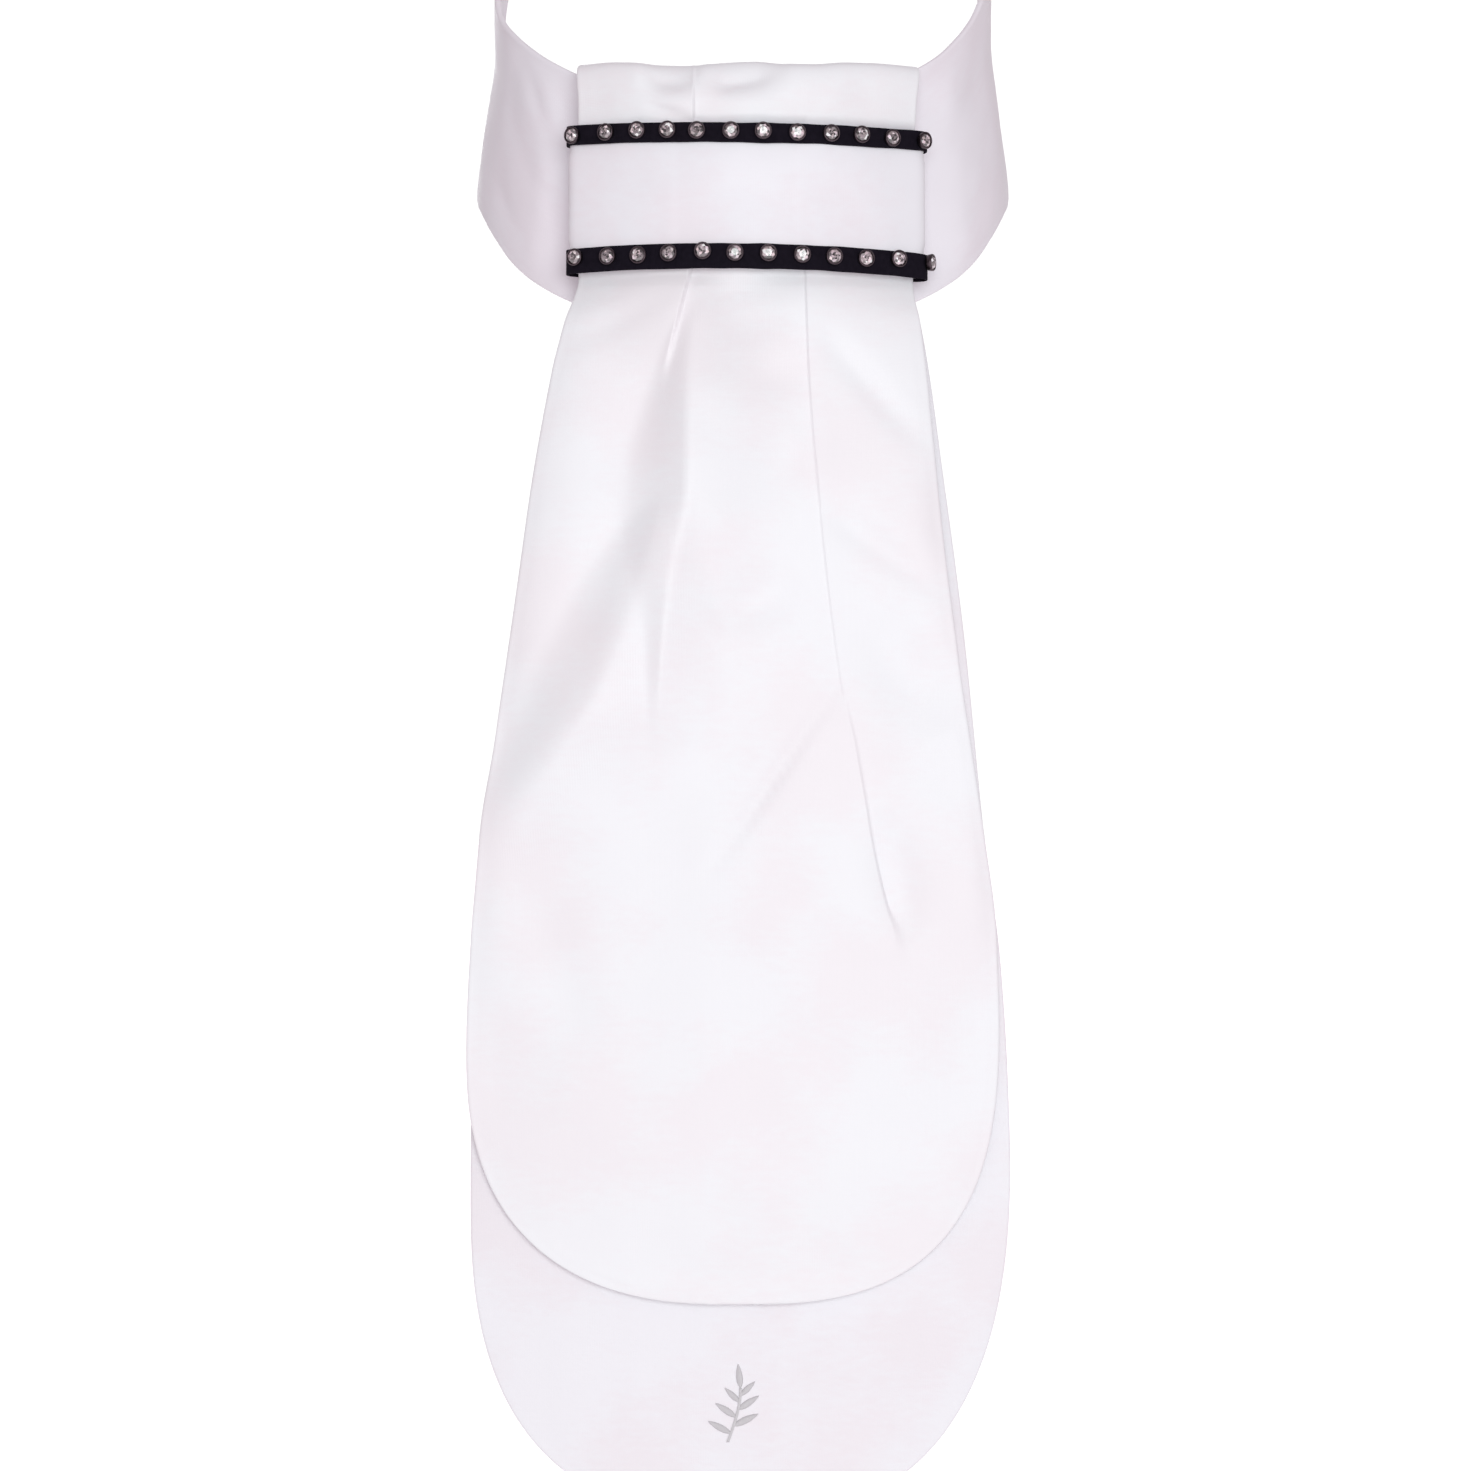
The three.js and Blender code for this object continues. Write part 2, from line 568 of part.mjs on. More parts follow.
// Places along the way from one turn to the other, `extra` outside the sleeve's mid-cloth
function frontPlaces(extra, turnTo, turnSteps, frontSteps) {
  const places = [];
  for (const angle of spaced(turnTo, 0, turnSteps)) {
    places.push(turnPlace(KEEPER_LEFT_TURN, -1, angle, extra));
  }
  for (const angle of spaced(KEEPER_LEFT_TURN, KEEPER_RIGHT_TURN, frontSteps).slice(1)) {
    places.push({ angle, level: LEVEL.keeperFront + extra });
  }
  for (const angle of spaced(0, turnTo, turnSteps).slice(1)) {
    places.push(turnPlace(KEEPER_RIGHT_TURN, 1, angle, extra));
  }
  return places;
}

// The keeper: a flat satin sleeve closed round both tails
function keeperSections() {
  const half = KEEPER_CLOTH / 2;
  const loop = (extra) => {
    const back = spaced(KEEPER_RIGHT_TURN, KEEPER_LEFT_TURN, KEEPER_STEPS.back)
      .slice(1, -1)
      .map((angle) => ({ angle, level: LEVEL.keeperBack - extra }));
    return [...frontPlaces(extra, 180, KEEPER_STEPS.turn, KEEPER_STEPS.front), ...back];
  };
  const outside = loop(half);
  const inside = loop(-half);
  return outside.map((place, i) => [
    sleevePoint(place, KEEPER_FOOT),
    sleevePoint(place, KEEPER_TOP),
    sleevePoint(inside[i], KEEPER_TOP),
    sleevePoint(inside[i], KEEPER_FOOT),
  ]);
}

const RIBBON_MIDDLE = KEEPER_CLOTH / 2 + GAP + RIBBON_THICK / 2;

// A ribbon: laid along one edge of the sleeve's front and turned behind at both ends
function ribbonSections(ribbon) {
  const half = RIBBON_THICK / 2;
  const outside = frontPlaces(RIBBON_MIDDLE + half, RIBBON_TURNS_TO, KEEPER_STEPS.turn, KEEPER_STEPS.front);
  const inside = frontPlaces(RIBBON_MIDDLE - half, RIBBON_TURNS_TO, KEEPER_STEPS.turn, KEEPER_STEPS.front);
  const foot = ribbon.top - ribbon.height;
  return outside.map((place, i) => [
    sleevePoint(place, foot),
    sleevePoint(place, ribbon.top),
    sleevePoint(inside[i], ribbon.top),
    sleevePoint(inside[i], foot),
  ]);
}

// Where a stone is seated on a ribbon's face, and the way out of the face there
function ribbonSeat(ribbon, { across, rise }) {
  const level = RIBBON_MIDDLE + RIBBON_THICK / 2 + GAP;
  const z = ribbon.top - ribbon.height / 2 + rise;
  const points = frontPlaces(level, 90, SEAT_STEPS, SEAT_STEPS * 8).map((place) => sleevePoint(place, z));
  const step = across < 0 ? -1 : 1;
  let index = points.findIndex((point) => point.x > 0);
  while (points[index + 2 * step] && (across - points[index + step].x) * step > 0) index += step;
  const [here, next] = [points[index], points[index + step]];
  const share = Math.min(1, (across - here.x) / (next.x - here.x));
  const way = next.clone().sub(here).multiplyScalar(step);
  const out = way.cross(new THREE.Vector3(0, 0, 1)).normalize();
  return { seat: here.clone().lerp(next, share), out };
}

function seatOn(mesh, seat, out) {
  mesh.quaternion.setFromUnitVectors(new THREE.Vector3(0, 0, 1), out);
  mesh.position.copy(seat);
}

// A solid of stacked rings closed by a point at both ends. A ring with a shift is turned by
// that share of a side, which gives the slanting facets of a cut stone.
function ringSolid(name, lowPoint, rings, topPoint, sides, material) {
  const positions = [0, 0, lowPoint];
  for (const ring of rings) {
    for (let side = 0; side < sides; side += 1) {
      const turn = ((side + (ring.shift ?? 0)) / sides) * 2 * Math.PI;
      positions.push(ring.radius * Math.cos(turn), ring.radius * Math.sin(turn), ring.z);
    }
  }
  positions.push(0, 0, topPoint);
  const at = (ring, side) => 1 + ring * sides + (side % sides);
  const last = rings.length - 1;
  const faces = [];
  for (let side = 0; side < sides; side += 1) {
    faces.push(0, at(0, side + 1), at(0, side));
    faces.push(1 + rings.length * sides, at(last, side), at(last, side + 1));
    for (let ring = 0; ring < last; ring += 1) {
      const [a, b, c, d] = [at(ring, side), at(ring, side + 1), at(ring + 1, side), at(ring + 1, side + 1)];
      if (rings[ring + 1].shift) faces.push(a, b, c, b, d, c);
      else faces.push(a, b, d, a, d, c);
    }
  }
  return solid(name, positions, faces, material);
}

// A round metal cup with a floor and a rim leaning in over the stone
function cup(name) {
  const inner = CUP_RADIUS - CUP_WALL;
  const rings = [
    { radius: CUP_FOOT_RADIUS, z: 0 },
    { radius: CUP_RADIUS, z: CUP_SHOULDER },
    { radius: inner, z: CUP_HEIGHT },
    { radius: inner, z: CUP_WALL },
  ];
  return ringSolid(name, 0, rings, CUP_WALL, CUP_SIDES, metal);
}

// A cut crystal: a pointed back, a girdle, slanting crown facets and a flat table
function stone(name) {
  const floor = CUP_WALL + GAP;
  const rings = [
    { radius: STONE_RADIUS, z: floor + STONE_HEIGHTS.girdleLow },
    { radius: STONE_RADIUS, z: floor + STONE_HEIGHTS.girdleTop },
    { radius: STONE_RADIUS * STONE_TABLE, z: floor + STONE_HEIGHTS.table, shift: 0.5 },
  ];
  return ringSolid(name, floor, rings, floor + STONE_HEIGHTS.table, STONE_SIDES, crystal);
}

loft("collar_band", collarSections(), satin);
loft("collar_closure", patchSections(), hookTape);
loft("back_tail", backTailSections(), satin);
loft("front_tail", frontTailSections(), satin);
loft("keeper", keeperSections(), keeperSatin, true);
for (const ribbon of RIBBONS) {
  loft(`ribbon_${ribbon.name}`, ribbonSections(ribbon), ribbonBlack);
  STONES[ribbon.name].forEach((place, index) => {
    const number = String(index + 1).padStart(2, "0");
    const { seat, out } = ribbonSeat(ribbon, place);
    seatOn(cup(`cup_${ribbon.name}_${number}`), seat, out);
    seatOn(stone(`crystal_${ribbon.name}_${number}`), seat, out);
  });
}

export default part;
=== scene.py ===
import math

import bpy
import numpy as np
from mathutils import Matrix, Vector, noise


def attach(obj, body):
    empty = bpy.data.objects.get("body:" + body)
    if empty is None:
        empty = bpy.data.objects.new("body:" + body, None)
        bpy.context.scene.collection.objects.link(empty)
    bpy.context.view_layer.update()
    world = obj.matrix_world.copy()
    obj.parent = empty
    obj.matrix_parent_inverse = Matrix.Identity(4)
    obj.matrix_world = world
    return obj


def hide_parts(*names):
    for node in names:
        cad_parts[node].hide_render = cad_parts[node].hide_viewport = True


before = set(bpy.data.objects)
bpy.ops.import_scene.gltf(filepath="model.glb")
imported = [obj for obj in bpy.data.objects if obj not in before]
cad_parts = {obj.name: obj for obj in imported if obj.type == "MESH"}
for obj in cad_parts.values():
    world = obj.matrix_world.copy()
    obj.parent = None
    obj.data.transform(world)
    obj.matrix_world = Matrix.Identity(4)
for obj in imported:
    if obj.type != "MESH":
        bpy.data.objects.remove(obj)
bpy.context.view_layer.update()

MM = 0.001


# Camera
# It looks level at the front of the cravat from just over a metre away, a little below
# the middle of its height, with a long lens.
FOCAL_PIXELS = 4000
IMAGE_LONG_SIDE = 1471
SENSOR = 36
camera_data = bpy.data.cameras.new("camera")
camera_data.sensor_width = SENSOR
camera_data.lens = SENSOR * FOCAL_PIXELS / IMAGE_LONG_SIDE
camera_data.clip_start = 0.05
camera_data.clip_end = 200
camera = bpy.data.objects.new("camera", camera_data)
camera.location = (-0.0016, -1.07, -0.168)
camera.rotation_euler = (math.radians(90), 0, 0)
bpy.context.scene.collection.objects.link(camera)
bpy.context.scene.camera = camera


# Collar band
# The band that goes round the neck: white satin folded over a soft interlining, with rolled
# edges, deep at the front and climbing to the back, where its two ends lap.
COLLAR_WALL = 1.7
COLLAR_ROLLED = 0.3  # share of the wall left at the very edge
COLLAR_ROLL = 1.1  # width of the rounding at an edge
COLLAR_CENTRE_X = 0.5
COLLAR_END = 200  # degrees from the front at which each end stops
COLLAR_SMOOTH = 120  # degrees from the front where its unevenness starts to fade
LAP_STARTS, LAP_PARTED = 132, 157
LAP_REACH = 1.75  # half the distance between the lapped ends
COLLAR_AROUND, COLLAR_UP = 330, 40  # columns and rows of its mesh
COLLAR_LUMPS = [(0.4, 26, 1), (0.2, 9, 2)]
MOST_SWELL = 0.5  # the furthest that the cloth stands out
CREASE_DEPTH = 0.9
CALM_EDGE, PRESSED_EDGE = 6, 10  # how far from an edge the unevenness and the dents are whole
STITCHED_IN, STITCH_WIDTH, STITCH_DEPTH = 1.5, 0.35, 0.14  # the stitches along its edges


def table(names, *rows):
    """A short table with named columns"""
    return dict(zip(names.split(), np.array(rows, float).T))


def read(rows, column, at):
    """One column of a table, on a smooth curve between its rows; the first column is the place"""
    key = next(iter(rows.values()))
    value = rows[column]
    if key[0] > key[-1]:
        key, value = key[::-1], value[::-1]
    rise = np.diff(value) / np.diff(key)
    slope = np.zeros(len(key))
    runs_on = rise[:-1] * rise[1:] > 0
    both = (rise[:-1] + rise[1:])[runs_on]
    slope[1:-1][runs_on] = 2 * (rise[:-1] * rise[1:])[runs_on] / both
    at = np.clip(at, key[0], key[-1])
    i = np.clip(np.searchsorted(key, at) - 1, 0, len(key) - 2)
    span = key[i + 1] - key[i]
    t = (at - key[i]) / span
    start = value[i] * (1 + 2 * t) * (1 - t) ** 2 + slope[i] * span * t * (1 - t) ** 2
    return start + value[i + 1] * t * t * (3 - 2 * t) - slope[i + 1] * span * t * t * (1 - t)


def smooth(start, end, at):
    t = np.clip((at - start) / (end - start), 0, 1)
    return t * t * (3 - 2 * t)


def blend(start, end, share):
    return start + (end - start) * share


def waves(u, v, size, seed):
    """Soft unevenness between about -1 and 1, in lumps of the given size"""
    u, v = np.broadcast_arrays(u, v)
    flat = [noise.noise((a / size, b / size, seed)) for a, b in zip(u.flat, v.flat)]
    return np.array(flat).reshape(u.shape)


def ridge(away, at, width):
    """1 along a line at a distance from an edge, falling off softly to both sides of it"""
    return np.exp(-(((away - at) / width) ** 2))


def uneven(u, v, lumps):
    """Soft unevenness of several sizes, each given by its height, size and seed"""
    return sum(height * waves(u, v, size, seed) for height, size, seed in lumps)


def crease(u, v, start, end, width):
    """A dent along a straight line on the cloth: 1 on the line, fading over its width and
    towards both ends"""
    run = np.subtract(end, start)
    length = np.hypot(*run)
    along = ((u - start[0]) * run[0] + (v - start[1]) * run[1]) / length ** 2
    inside = np.clip(along, 0, 1)
    away = np.hypot(u - start[0] - run[0] * inside, v - start[1] - run[1] * inside)
    return np.exp(-((away / width) ** 2)) * np.sin(np.pi * np.clip(along * 0.9 + 0.05, 0, 1))


def rounded(distance, reach, least):
    """Share of a sheet's thickness at a distance from its edge, for a rounded edge"""
    near = 1 - np.clip(distance / reach, 0, 1)
    return least + (1 - least) * np.sqrt(1 - near * near)


def end_steps(width, roll, count):
    """Places from 0 to the width, closer together where both edges are rounded"""
    rim = roll * (1 - np.cos(np.linspace(0, np.pi / 2, 5)))
    inner = np.linspace(roll, width - roll, count)[1:-1]
    return np.concatenate([rim, inner, width - rim[::-1]])


def mesh_piece(name, points, faces, cloth=None):
    """A smooth-shaded mesh from points in millimetres. The cloth places, if given, are kept
    on the points for the weave to follow."""
    mesh = bpy.data.meshes.new(name)
    mesh.from_pydata((points * MM).tolist(), [], faces)
    mesh.shade_smooth()
    if cloth is not None:
        layer = mesh.attributes.new("cloth", "FLOAT_VECTOR", "POINT")
        layer.data.foreach_set("vector", (cloth * MM).astype(np.float32).ravel())
    mesh.update()
    piece = bpy.data.objects.new(name, mesh)
    bpy.context.scene.collection.objects.link(piece)
    return piece


def sheet_piece(name, face, back, u, v, closed=False):
    """A closed sheet of cloth from two grids of points, its face and its back, joined round
    the rim. A closed sheet also joins its last column to its first."""
    rows, columns = u.shape
    grid = np.arange(rows * columns).reshape(rows, columns)
    if closed:
        grid = np.concatenate([grid, grid[:, :1]], axis=1)
    quads = np.stack([grid[:-1, :-1], grid[1:, :-1], grid[1:, 1:], grid[:-1, 1:]], -1)
    quads = quads.reshape(-1, 4)
    if closed:
        rims = [grid[0], grid[-1][::-1]]
    else:
        rims = [np.concatenate([grid[0, :-1], grid[:-1, -1], grid[-1, :0:-1], grid[::-1, 0]])]
    parts = [quads, quads[:, ::-1] + rows * columns]
    for rim in rims:
        far = rim + rows * columns
        parts.append(np.stack([rim[:-1], rim[1:], far[1:], far[:-1]], -1))
    points = np.concatenate([face.reshape(-1, 3), back.reshape(-1, 3)])
    faces = np.concatenate(parts)
    corners = points[faces]
    normals = np.cross(corners[:, 2] - corners[:, 0], corners[:, 3] - corners[:, 1])
    if (normals * corners.mean(1)).sum() < 0:
        faces = faces[:, ::-1]
    cloth = np.stack([u.ravel(), v.ravel(), np.zeros(u.size)], -1)
    return mesh_piece(name, points, faces.tolist(), np.concatenate([cloth, cloth]))


COLLAR_EDGES = table(
    "angle low top_left top_right",
    (0, -66, -9, -9),
    (25, -62.5, -5.6, -5.6),
    (37, -57.9, 0, 0.3),
    (50, -51, 6.5, 7.5),
    (58, -45.4, 11, 13.3),
    (66, -38.5, 15.6, 19.6),
    (76, -31, 21.3, 28.5),
    (84, -26.3, 27.2, 33.5),
    (88, -13, 31.6, 36.5),
    (92, 2, 36.4, 40.3),
    (96, 16, 41.6, 44.6),
    (100, 27, 46.8, 49),
    (104, 33, 51.5, 53),
    (112, 36.5, 57.5, 58.3),
    (124, 40, 63.8, 64),
    (142, 45, 70.5, 70.5),
    (160, 48, 73.2, 73.2),
    (180, 49, 74, 74),
    (200, 48, 73.2, 73.2),
)
COLLAR_PLAN = table(
    "share half_width depth",
    (0, 71.1, 60),
    (0.3, 69.3, 59.2),
    (0.5, 67.7, 58.7),
    (0.72, 66.2, 58.1),
    (1, 66.3, 57.5),
)
COLLAR_CLIMB = 84  # degrees from the front where the lower edge starts to climb
# Soft creases, in degrees round the band and in millimetres up from its middle
COLLAR_CREASES = table(
    "angle height to_angle to_height width depth",
    (-58, 24, -46, 6, 3.2, 0.55),
    (-66, 8, -50, -6, 4, 0.4),
    (-50, -2, -40, -16, 2.6, 0.4),
    (-72, -12, -52, -20, 3, 0.35),
    (-64, 20, -56, 26, 2.2, 0.3),
    (46, 20, 58, 4, 4, 0.5),
    (44, 2, 60, -10, 3.6, 0.4),
    (62, 16, 74, -2, 5, 0.5),
    (50, -16, 66, -20, 3, 0.3),
    (100, 10, 118, -8, 4.5, 0.6),
    (-100, 6, -120, -10, 4.5, 0.6),
    (128, 14, 142, 0, 3.5, 0.5),
    (-126, 12, -140, -4, 3.5, 0.5),
)
# Dents that the keeper presses beside its ends, and the soft swell beyond each: how far round it
# reaches away from the keeper and towards it, and its depth
COLLAR_DENTS = table(
    "angle away towards depth",
    (-36.5, 15, 4, 2.4),
    (-50, 18, 12, -0.8),
    (41, 15, 4, 2.2),
    (54, 14, 11, -0.4),
)
MEAN_RADIUS = 64


def band_edges(angle):
    """Heights of the band's lower and upper edges: the upper one stands higher on the right"""
    low, left, right = (
        read(COLLAR_EDGES, edge, np.abs(angle)) for edge in ("low", "top_left", "top_right")
    )
    return low, np.where(angle < 0, left, right)


def collar_point(angle, share, out):
    """A place on the band: degrees round from the front, share of its height, distance outside.
    Where the lower edge climbs, each height keeps the size in plan that it has at the sides."""
    z = blend(*band_edges(angle), share)
    side_low, side_top = band_edges(np.clip(angle, -COLLAR_CLIMB, COLLAR_CLIMB))
    side_share = (z - side_low) / (side_top - side_low)
    turn = np.radians(angle)
    half_width = read(COLLAR_PLAN, "half_width", side_share) + out
    depth = read(COLLAR_PLAN, "depth", side_share) + out
    return np.stack([COLLAR_CENTRE_X + half_width * np.sin(turn), -depth * np.cos(turn), z], -1)


def lap_shift(angle):
    return np.sign(angle) * LAP_REACH * smooth(LAP_STARTS, LAP_PARTED, np.abs(angle))


length = math.radians(2 * COLLAR_END) * MEAN_RADIUS
around = end_steps(length, COLLAR_ROLL, COLLAR_AROUND) / length
angle = (around * 2 - 1)[None, :] * COLLAR_END
low, top = band_edges(angle)
height = top - low
up = end_steps(height.mean(), COLLAR_ROLL, COLLAR_UP)[:, None] / height.mean()
angle, share = np.broadcast_arrays(angle, up)
along = np.radians(angle) * MEAN_RADIUS
rise = (share - 0.5) * height
from_edge = np.minimum(np.minimum(share, 1 - share) * height, length / 2 - np.abs(along))
relief = uneven(along, rise, COLLAR_LUMPS)
for from_angle, from_height, to_angle, to_height, width, depth in zip(*COLLAR_CREASES.values()):
    start = (math.radians(from_angle) * MEAN_RADIUS, from_height)
    end = (math.radians(to_angle) * MEAN_RADIUS, to_height)
    relief = relief - CREASE_DEPTH * depth * crease(along, rise, start, end, width)
stitches = ridge((1 - share) * height, STITCHED_IN, STITCH_WIDTH)
stitches = stitches + ridge(share * height, STITCHED_IN, STITCH_WIDTH)
uneven_there = 1 - smooth(COLLAR_SMOOTH, LAP_STARTS, np.abs(angle))
relief = relief * smooth(0, CALM_EDGE, from_edge) * uneven_there
relief = np.minimum(relief, MOST_SWELL)
for at, away, towards, depth in zip(*COLLAR_DENTS.values()):
    beyond = (angle - at) * np.sign(at)
    dent = np.where(beyond > 0, 1 - smooth(0, away, beyond), smooth(-towards, 0, beyond))
    relief = relief - depth * dent * smooth(0, PRESSED_EDGE, from_edge)
middle = lap_shift(angle) - COLLAR_WALL / 2 + relief
half = COLLAR_WALL / 2 * rounded(from_edge, COLLAR_ROLL, COLLAR_ROLLED)
collar = sheet_piece(
    "collar",
    collar_point(angle, share, middle + half - STITCH_DEPTH * stitches),
    collar_point(angle, share, middle - half + STITCH_DEPTH * stitches),
    along,
    rise,
)


def shader(name, roughness, **fixed):
    """A new material and the parts of its node tree that the sections below add to"""
    material = bpy.data.materials.new(name)
    material.use_nodes = True
    surface = material.node_tree.nodes["Principled BSDF"]
    surface.inputs["Roughness"].default_value = roughness
    for socket, value in fixed.items():
        surface.inputs[socket.replace("_", " ")].default_value = value
    return material, material.node_tree.nodes, material.node_tree.links, surface


def node(nodes, kind, **settings):
    made = nodes.new("ShaderNode" + kind)
    for key, value in settings.items():
        if key in made.inputs:
            made.inputs[key].default_value = value
        else:
            setattr(made, key, value)
    return made


def cloth_place(nodes):
    """Where each point lies on the flat cloth"""
    return node(nodes, "Attribute", attribute_name="cloth").outputs["Vector"]


def texture(place, kind, **settings):
    """A texture laid out by the given place"""
    tree = place.id_data
    made = node(tree.nodes, kind, **settings)
    tree.links.new(place, made.inputs["Vector"])
    return made


def bump_from(height, surface, strength, distance):
    """Fine relief on a surface from the output of a texture"""
    tree = surface.id_data
    raised = node(tree.nodes, "Bump", Strength=strength, Distance=distance)
    tree.links.new(height, raised.inputs["Height"])
    tree.links.new(raised.outputs["Normal"], surface.inputs["Normal"])


MOTTLE_SHARE, TONE_SCALE = 0.35, 0.74
SHADE_UP_TO, LIGHT_FROM = 0.42, 0.56


def satin_material(name, light, shade, streak, grain, roughness):
    """White satin: fine floats across the cloth, a mottled sheen and slightly uneven dye.
    The streak stretches the mottling, and the grain says how strongly it shows as relief."""
    material, nodes, links, surface = shader(
        name,
        roughness,
        Sheen_Weight=0.3,
        Sheen_Roughness=0.45,
        Specular_IOR_Level=0.42,
        Anisotropic=0.35,
    )
    place = cloth_place(nodes)
    stretch = node(nodes, "VectorMath", operation="MULTIPLY")
    stretch.inputs[1].default_value = (1, streak, 1)
    links.new(place, stretch.inputs[0])
    mottle = texture(stretch.outputs[0], "TexNoise", Scale=220, Detail=4, Roughness=0.62)
    cloudy = texture(place, "TexNoise", Scale=26, Detail=2)
    both = node(nodes, "Math", operation="MULTIPLY_ADD")
    both.inputs[1].default_value = MOTTLE_SHARE
    links.new(mottle.outputs["Fac"], both.inputs[0])
    links.new(cloudy.outputs["Fac"], both.inputs[2])
    ramp = node(nodes, "ValToRGB")
    low, high = ramp.color_ramp.elements
    low.position, low.color = SHADE_UP_TO, (*shade, 1)
    high.position, high.color = LIGHT_FROM, (*light, 1)
    tone = node(nodes, "Math", operation="MULTIPLY")
    tone.inputs[1].default_value = TONE_SCALE
    links.new(both.outputs[0], tone.inputs[0])
    links.new(tone.outputs[0], ramp.inputs["Fac"])
    links.new(ramp.outputs["Color"], surface.inputs["Base Color"])
    floats = texture(place, "TexWave", bands_direction="Y", Scale=900, Distortion=0.6, Detail=1)
    ends = texture(place, "TexWave", bands_direction="X", Scale=520, Distortion=1.2, Detail=1)
    weave = node(nodes, "Math", operation="ADD")
    links.new(floats.outputs["Fac"], weave.inputs[0])
    links.new(ends.outputs["Fac"], weave.inputs[1])
    fine = node(nodes, "Bump", Strength=0.25, Distance=0.00003)
    links.new(weave.outputs[0], fine.inputs["Height"])
    coarse = node(nodes, "Bump", Strength=grain, Distance=0.0002)
    links.new(mottle.outputs["Fac"], coarse.inputs["Height"])
    links.new(fine.outputs["Normal"], coarse.inputs["Normal"])
    links.new(coarse.outputs["Normal"], surface.inputs["Normal"])
    return material


# Painted shade: the band's satin is tinted pinker and a little darker than the over tail's, for
# the pink shade the band lies in.
satin_colours = (0.89, 0.858, 0.91), (0.882, 0.826, 0.882)
satin = satin_material("band satin, painted shade tint", *satin_colours, streak=2.2, grain=0.25, roughness=0.44)
collar.data.materials.append(satin)
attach(collar, "root")
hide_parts("collar_band")


# Hook tape
# A patch of white hook-and-loop tape sewn flat between the lapped ends of the band, which
# closes it behind the neck. Little of it shows.
PATCH_HALF_ANGLE = 17
PATCH_HEIGHT = 17
PATCH_THICK = 1.2
PATCH_MIDDLE = 61.5  # height of its middle
PATCH_ROLL, PATCH_ROLLED = 0.5, 0.4
PATCH_AROUND, PATCH_UP = 60, 18
angle = np.linspace(180 - PATCH_HALF_ANGLE, 180 + PATCH_HALF_ANGLE, PATCH_AROUND)[None, :]
low, top = band_edges(angle)
up = end_steps(PATCH_HEIGHT, PATCH_ROLL, PATCH_UP)[:, None]
share = (PATCH_MIDDLE - PATCH_HEIGHT / 2 + up - low) / (top - low)
angle, up = np.broadcast_arrays(angle, up)
along = np.radians(angle) * MEAN_RADIUS
from_end = PATCH_HALF_ANGLE - np.abs(angle - 180)
rim = np.minimum(np.minimum(up, PATCH_HEIGHT - up), np.radians(from_end) * MEAN_RADIUS)
half = PATCH_THICK / 2 * rounded(rim, PATCH_ROLL, PATCH_ROLLED)
closure = sheet_piece(
    "closure_tape",
    collar_point(angle, share, half - COLLAR_WALL / 2),
    collar_point(angle, share, -half - COLLAR_WALL / 2),
    along,
    up,
)
colour = (0.8, 0.79, 0.8, 1)
tape, nodes, links, surface = shader("hook tape", 0.9, Base_Color=colour, Sheen_Weight=0.4)
place = cloth_place(nodes)
hooks = texture(place, "TexVoronoi", Scale=900)
bump_from(hooks.outputs["Distance"], surface, 0.8, 0.0003)
closure.data.materials.append(tape)
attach(closure, "root")
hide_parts("collar_closure")


# Under tail
# The longer tail, which hangs behind: two layers of satin sewn round the edge, turned and
# pressed, with a round end. It hangs from behind the knot.
CLOTH = 1.3
CLOTH_ROLL = 0.8  # width of the rounding at a sewn edge
CLOTH_ROLLED = 0.3
SEWN_IN, SEWN_WIDTH, SEWN_DEPTH = 1.9, 0.5, 0.07  # the pinched line along a sewn edge
PUCKER_SIZE, PUCKER_REACH = 4.5, 4  # of the small puckers along a sewn edge
BACK_LEVEL = 2.55  # distance of its middle outside the face of the band
BACK_LUMPS = [(0.5, 48, 6), (0.16, 15, 7)]
BACK_PUCKER, BACK_PUCKER_SEED = 0.16, 5
BACK_SUNK = 0.1  # how far it lies in from its level
BACK_STILL, BACK_FREE = -52, -110  # heights between which its unevenness sets in
BACK_WIDTH, BACK_COLUMNS = 118, 78
HANG = table(
    "z spread crown",
    (5, 65.6, -57.2),
    (-10, 66.9, -57.95),
    (-51, 70.5, -59.8),
    (-75, 84, -60.6),
    (-100, 102, -61.6),
    (-140, 135, -62.8),
    (-200, 170, -64.2),
    (-260, 190, -64.8),
    (-310, 200, -64.9),
    (-364, 205, -64.6),
)
CROWN_DEPTH = 59
BACK_TAIL = table(
    "z left right",
    (-7, -38.2, 41.2),
    (-52, -38.9, 41.9),
    (-60, -42.3, 44.9),
    (-104, -50.6, 51.3),
    (-144, -56.8, 56.3),
    (-194, -64, 61.2),
    (-224, -66.8, 65.1),
    (-254, -67.8, 67),
    (-280, -68.1, 67.7),
)
BACK_HEM = {"foot": -364, "left": -284, "right": -270, "left_power": 2.6, "right_power": 2.6}
BACK_ROWS_APART = 1.5


def hang_point(x, z, level, out):
    """A place on the hanging bundle: x on the layer that stands `level` off the band, then
    moved out by a further distance"""
    spread, crown = (read(HANG, column, z) for column in ("spread", "crown"))
    sine = x / (spread + level)
    reach = level + out
    drop = (CROWN_DEPTH + reach) * (1 - np.sqrt(1 - sine * sine))
    return np.stack(np.broadcast_arrays(sine * (spread + reach), crown - reach + drop, z), -1)


def draw_in(x, z, hem):
    """Columns drawn in by the round end: each side from where its own curve begins, and by
    its own roundness"""
    centre = (x[:, :1] + x[:, -1:]) / 2
    begins = np.where(x < centre, hem["left"], hem["right"])
    power = np.where(x < centre, hem["left_power"], hem["right_power"])
    share = np.clip((begins - z) / (begins - hem["foot"]), 0, 1)
    return centre + (x - centre) * (1 - share ** power) ** (1 / power)


LAST_TURN, TURN_DENSER = 89, 1.3  # how far the rows go round the round end, and how close
POINTS_AT_ONCE = 40


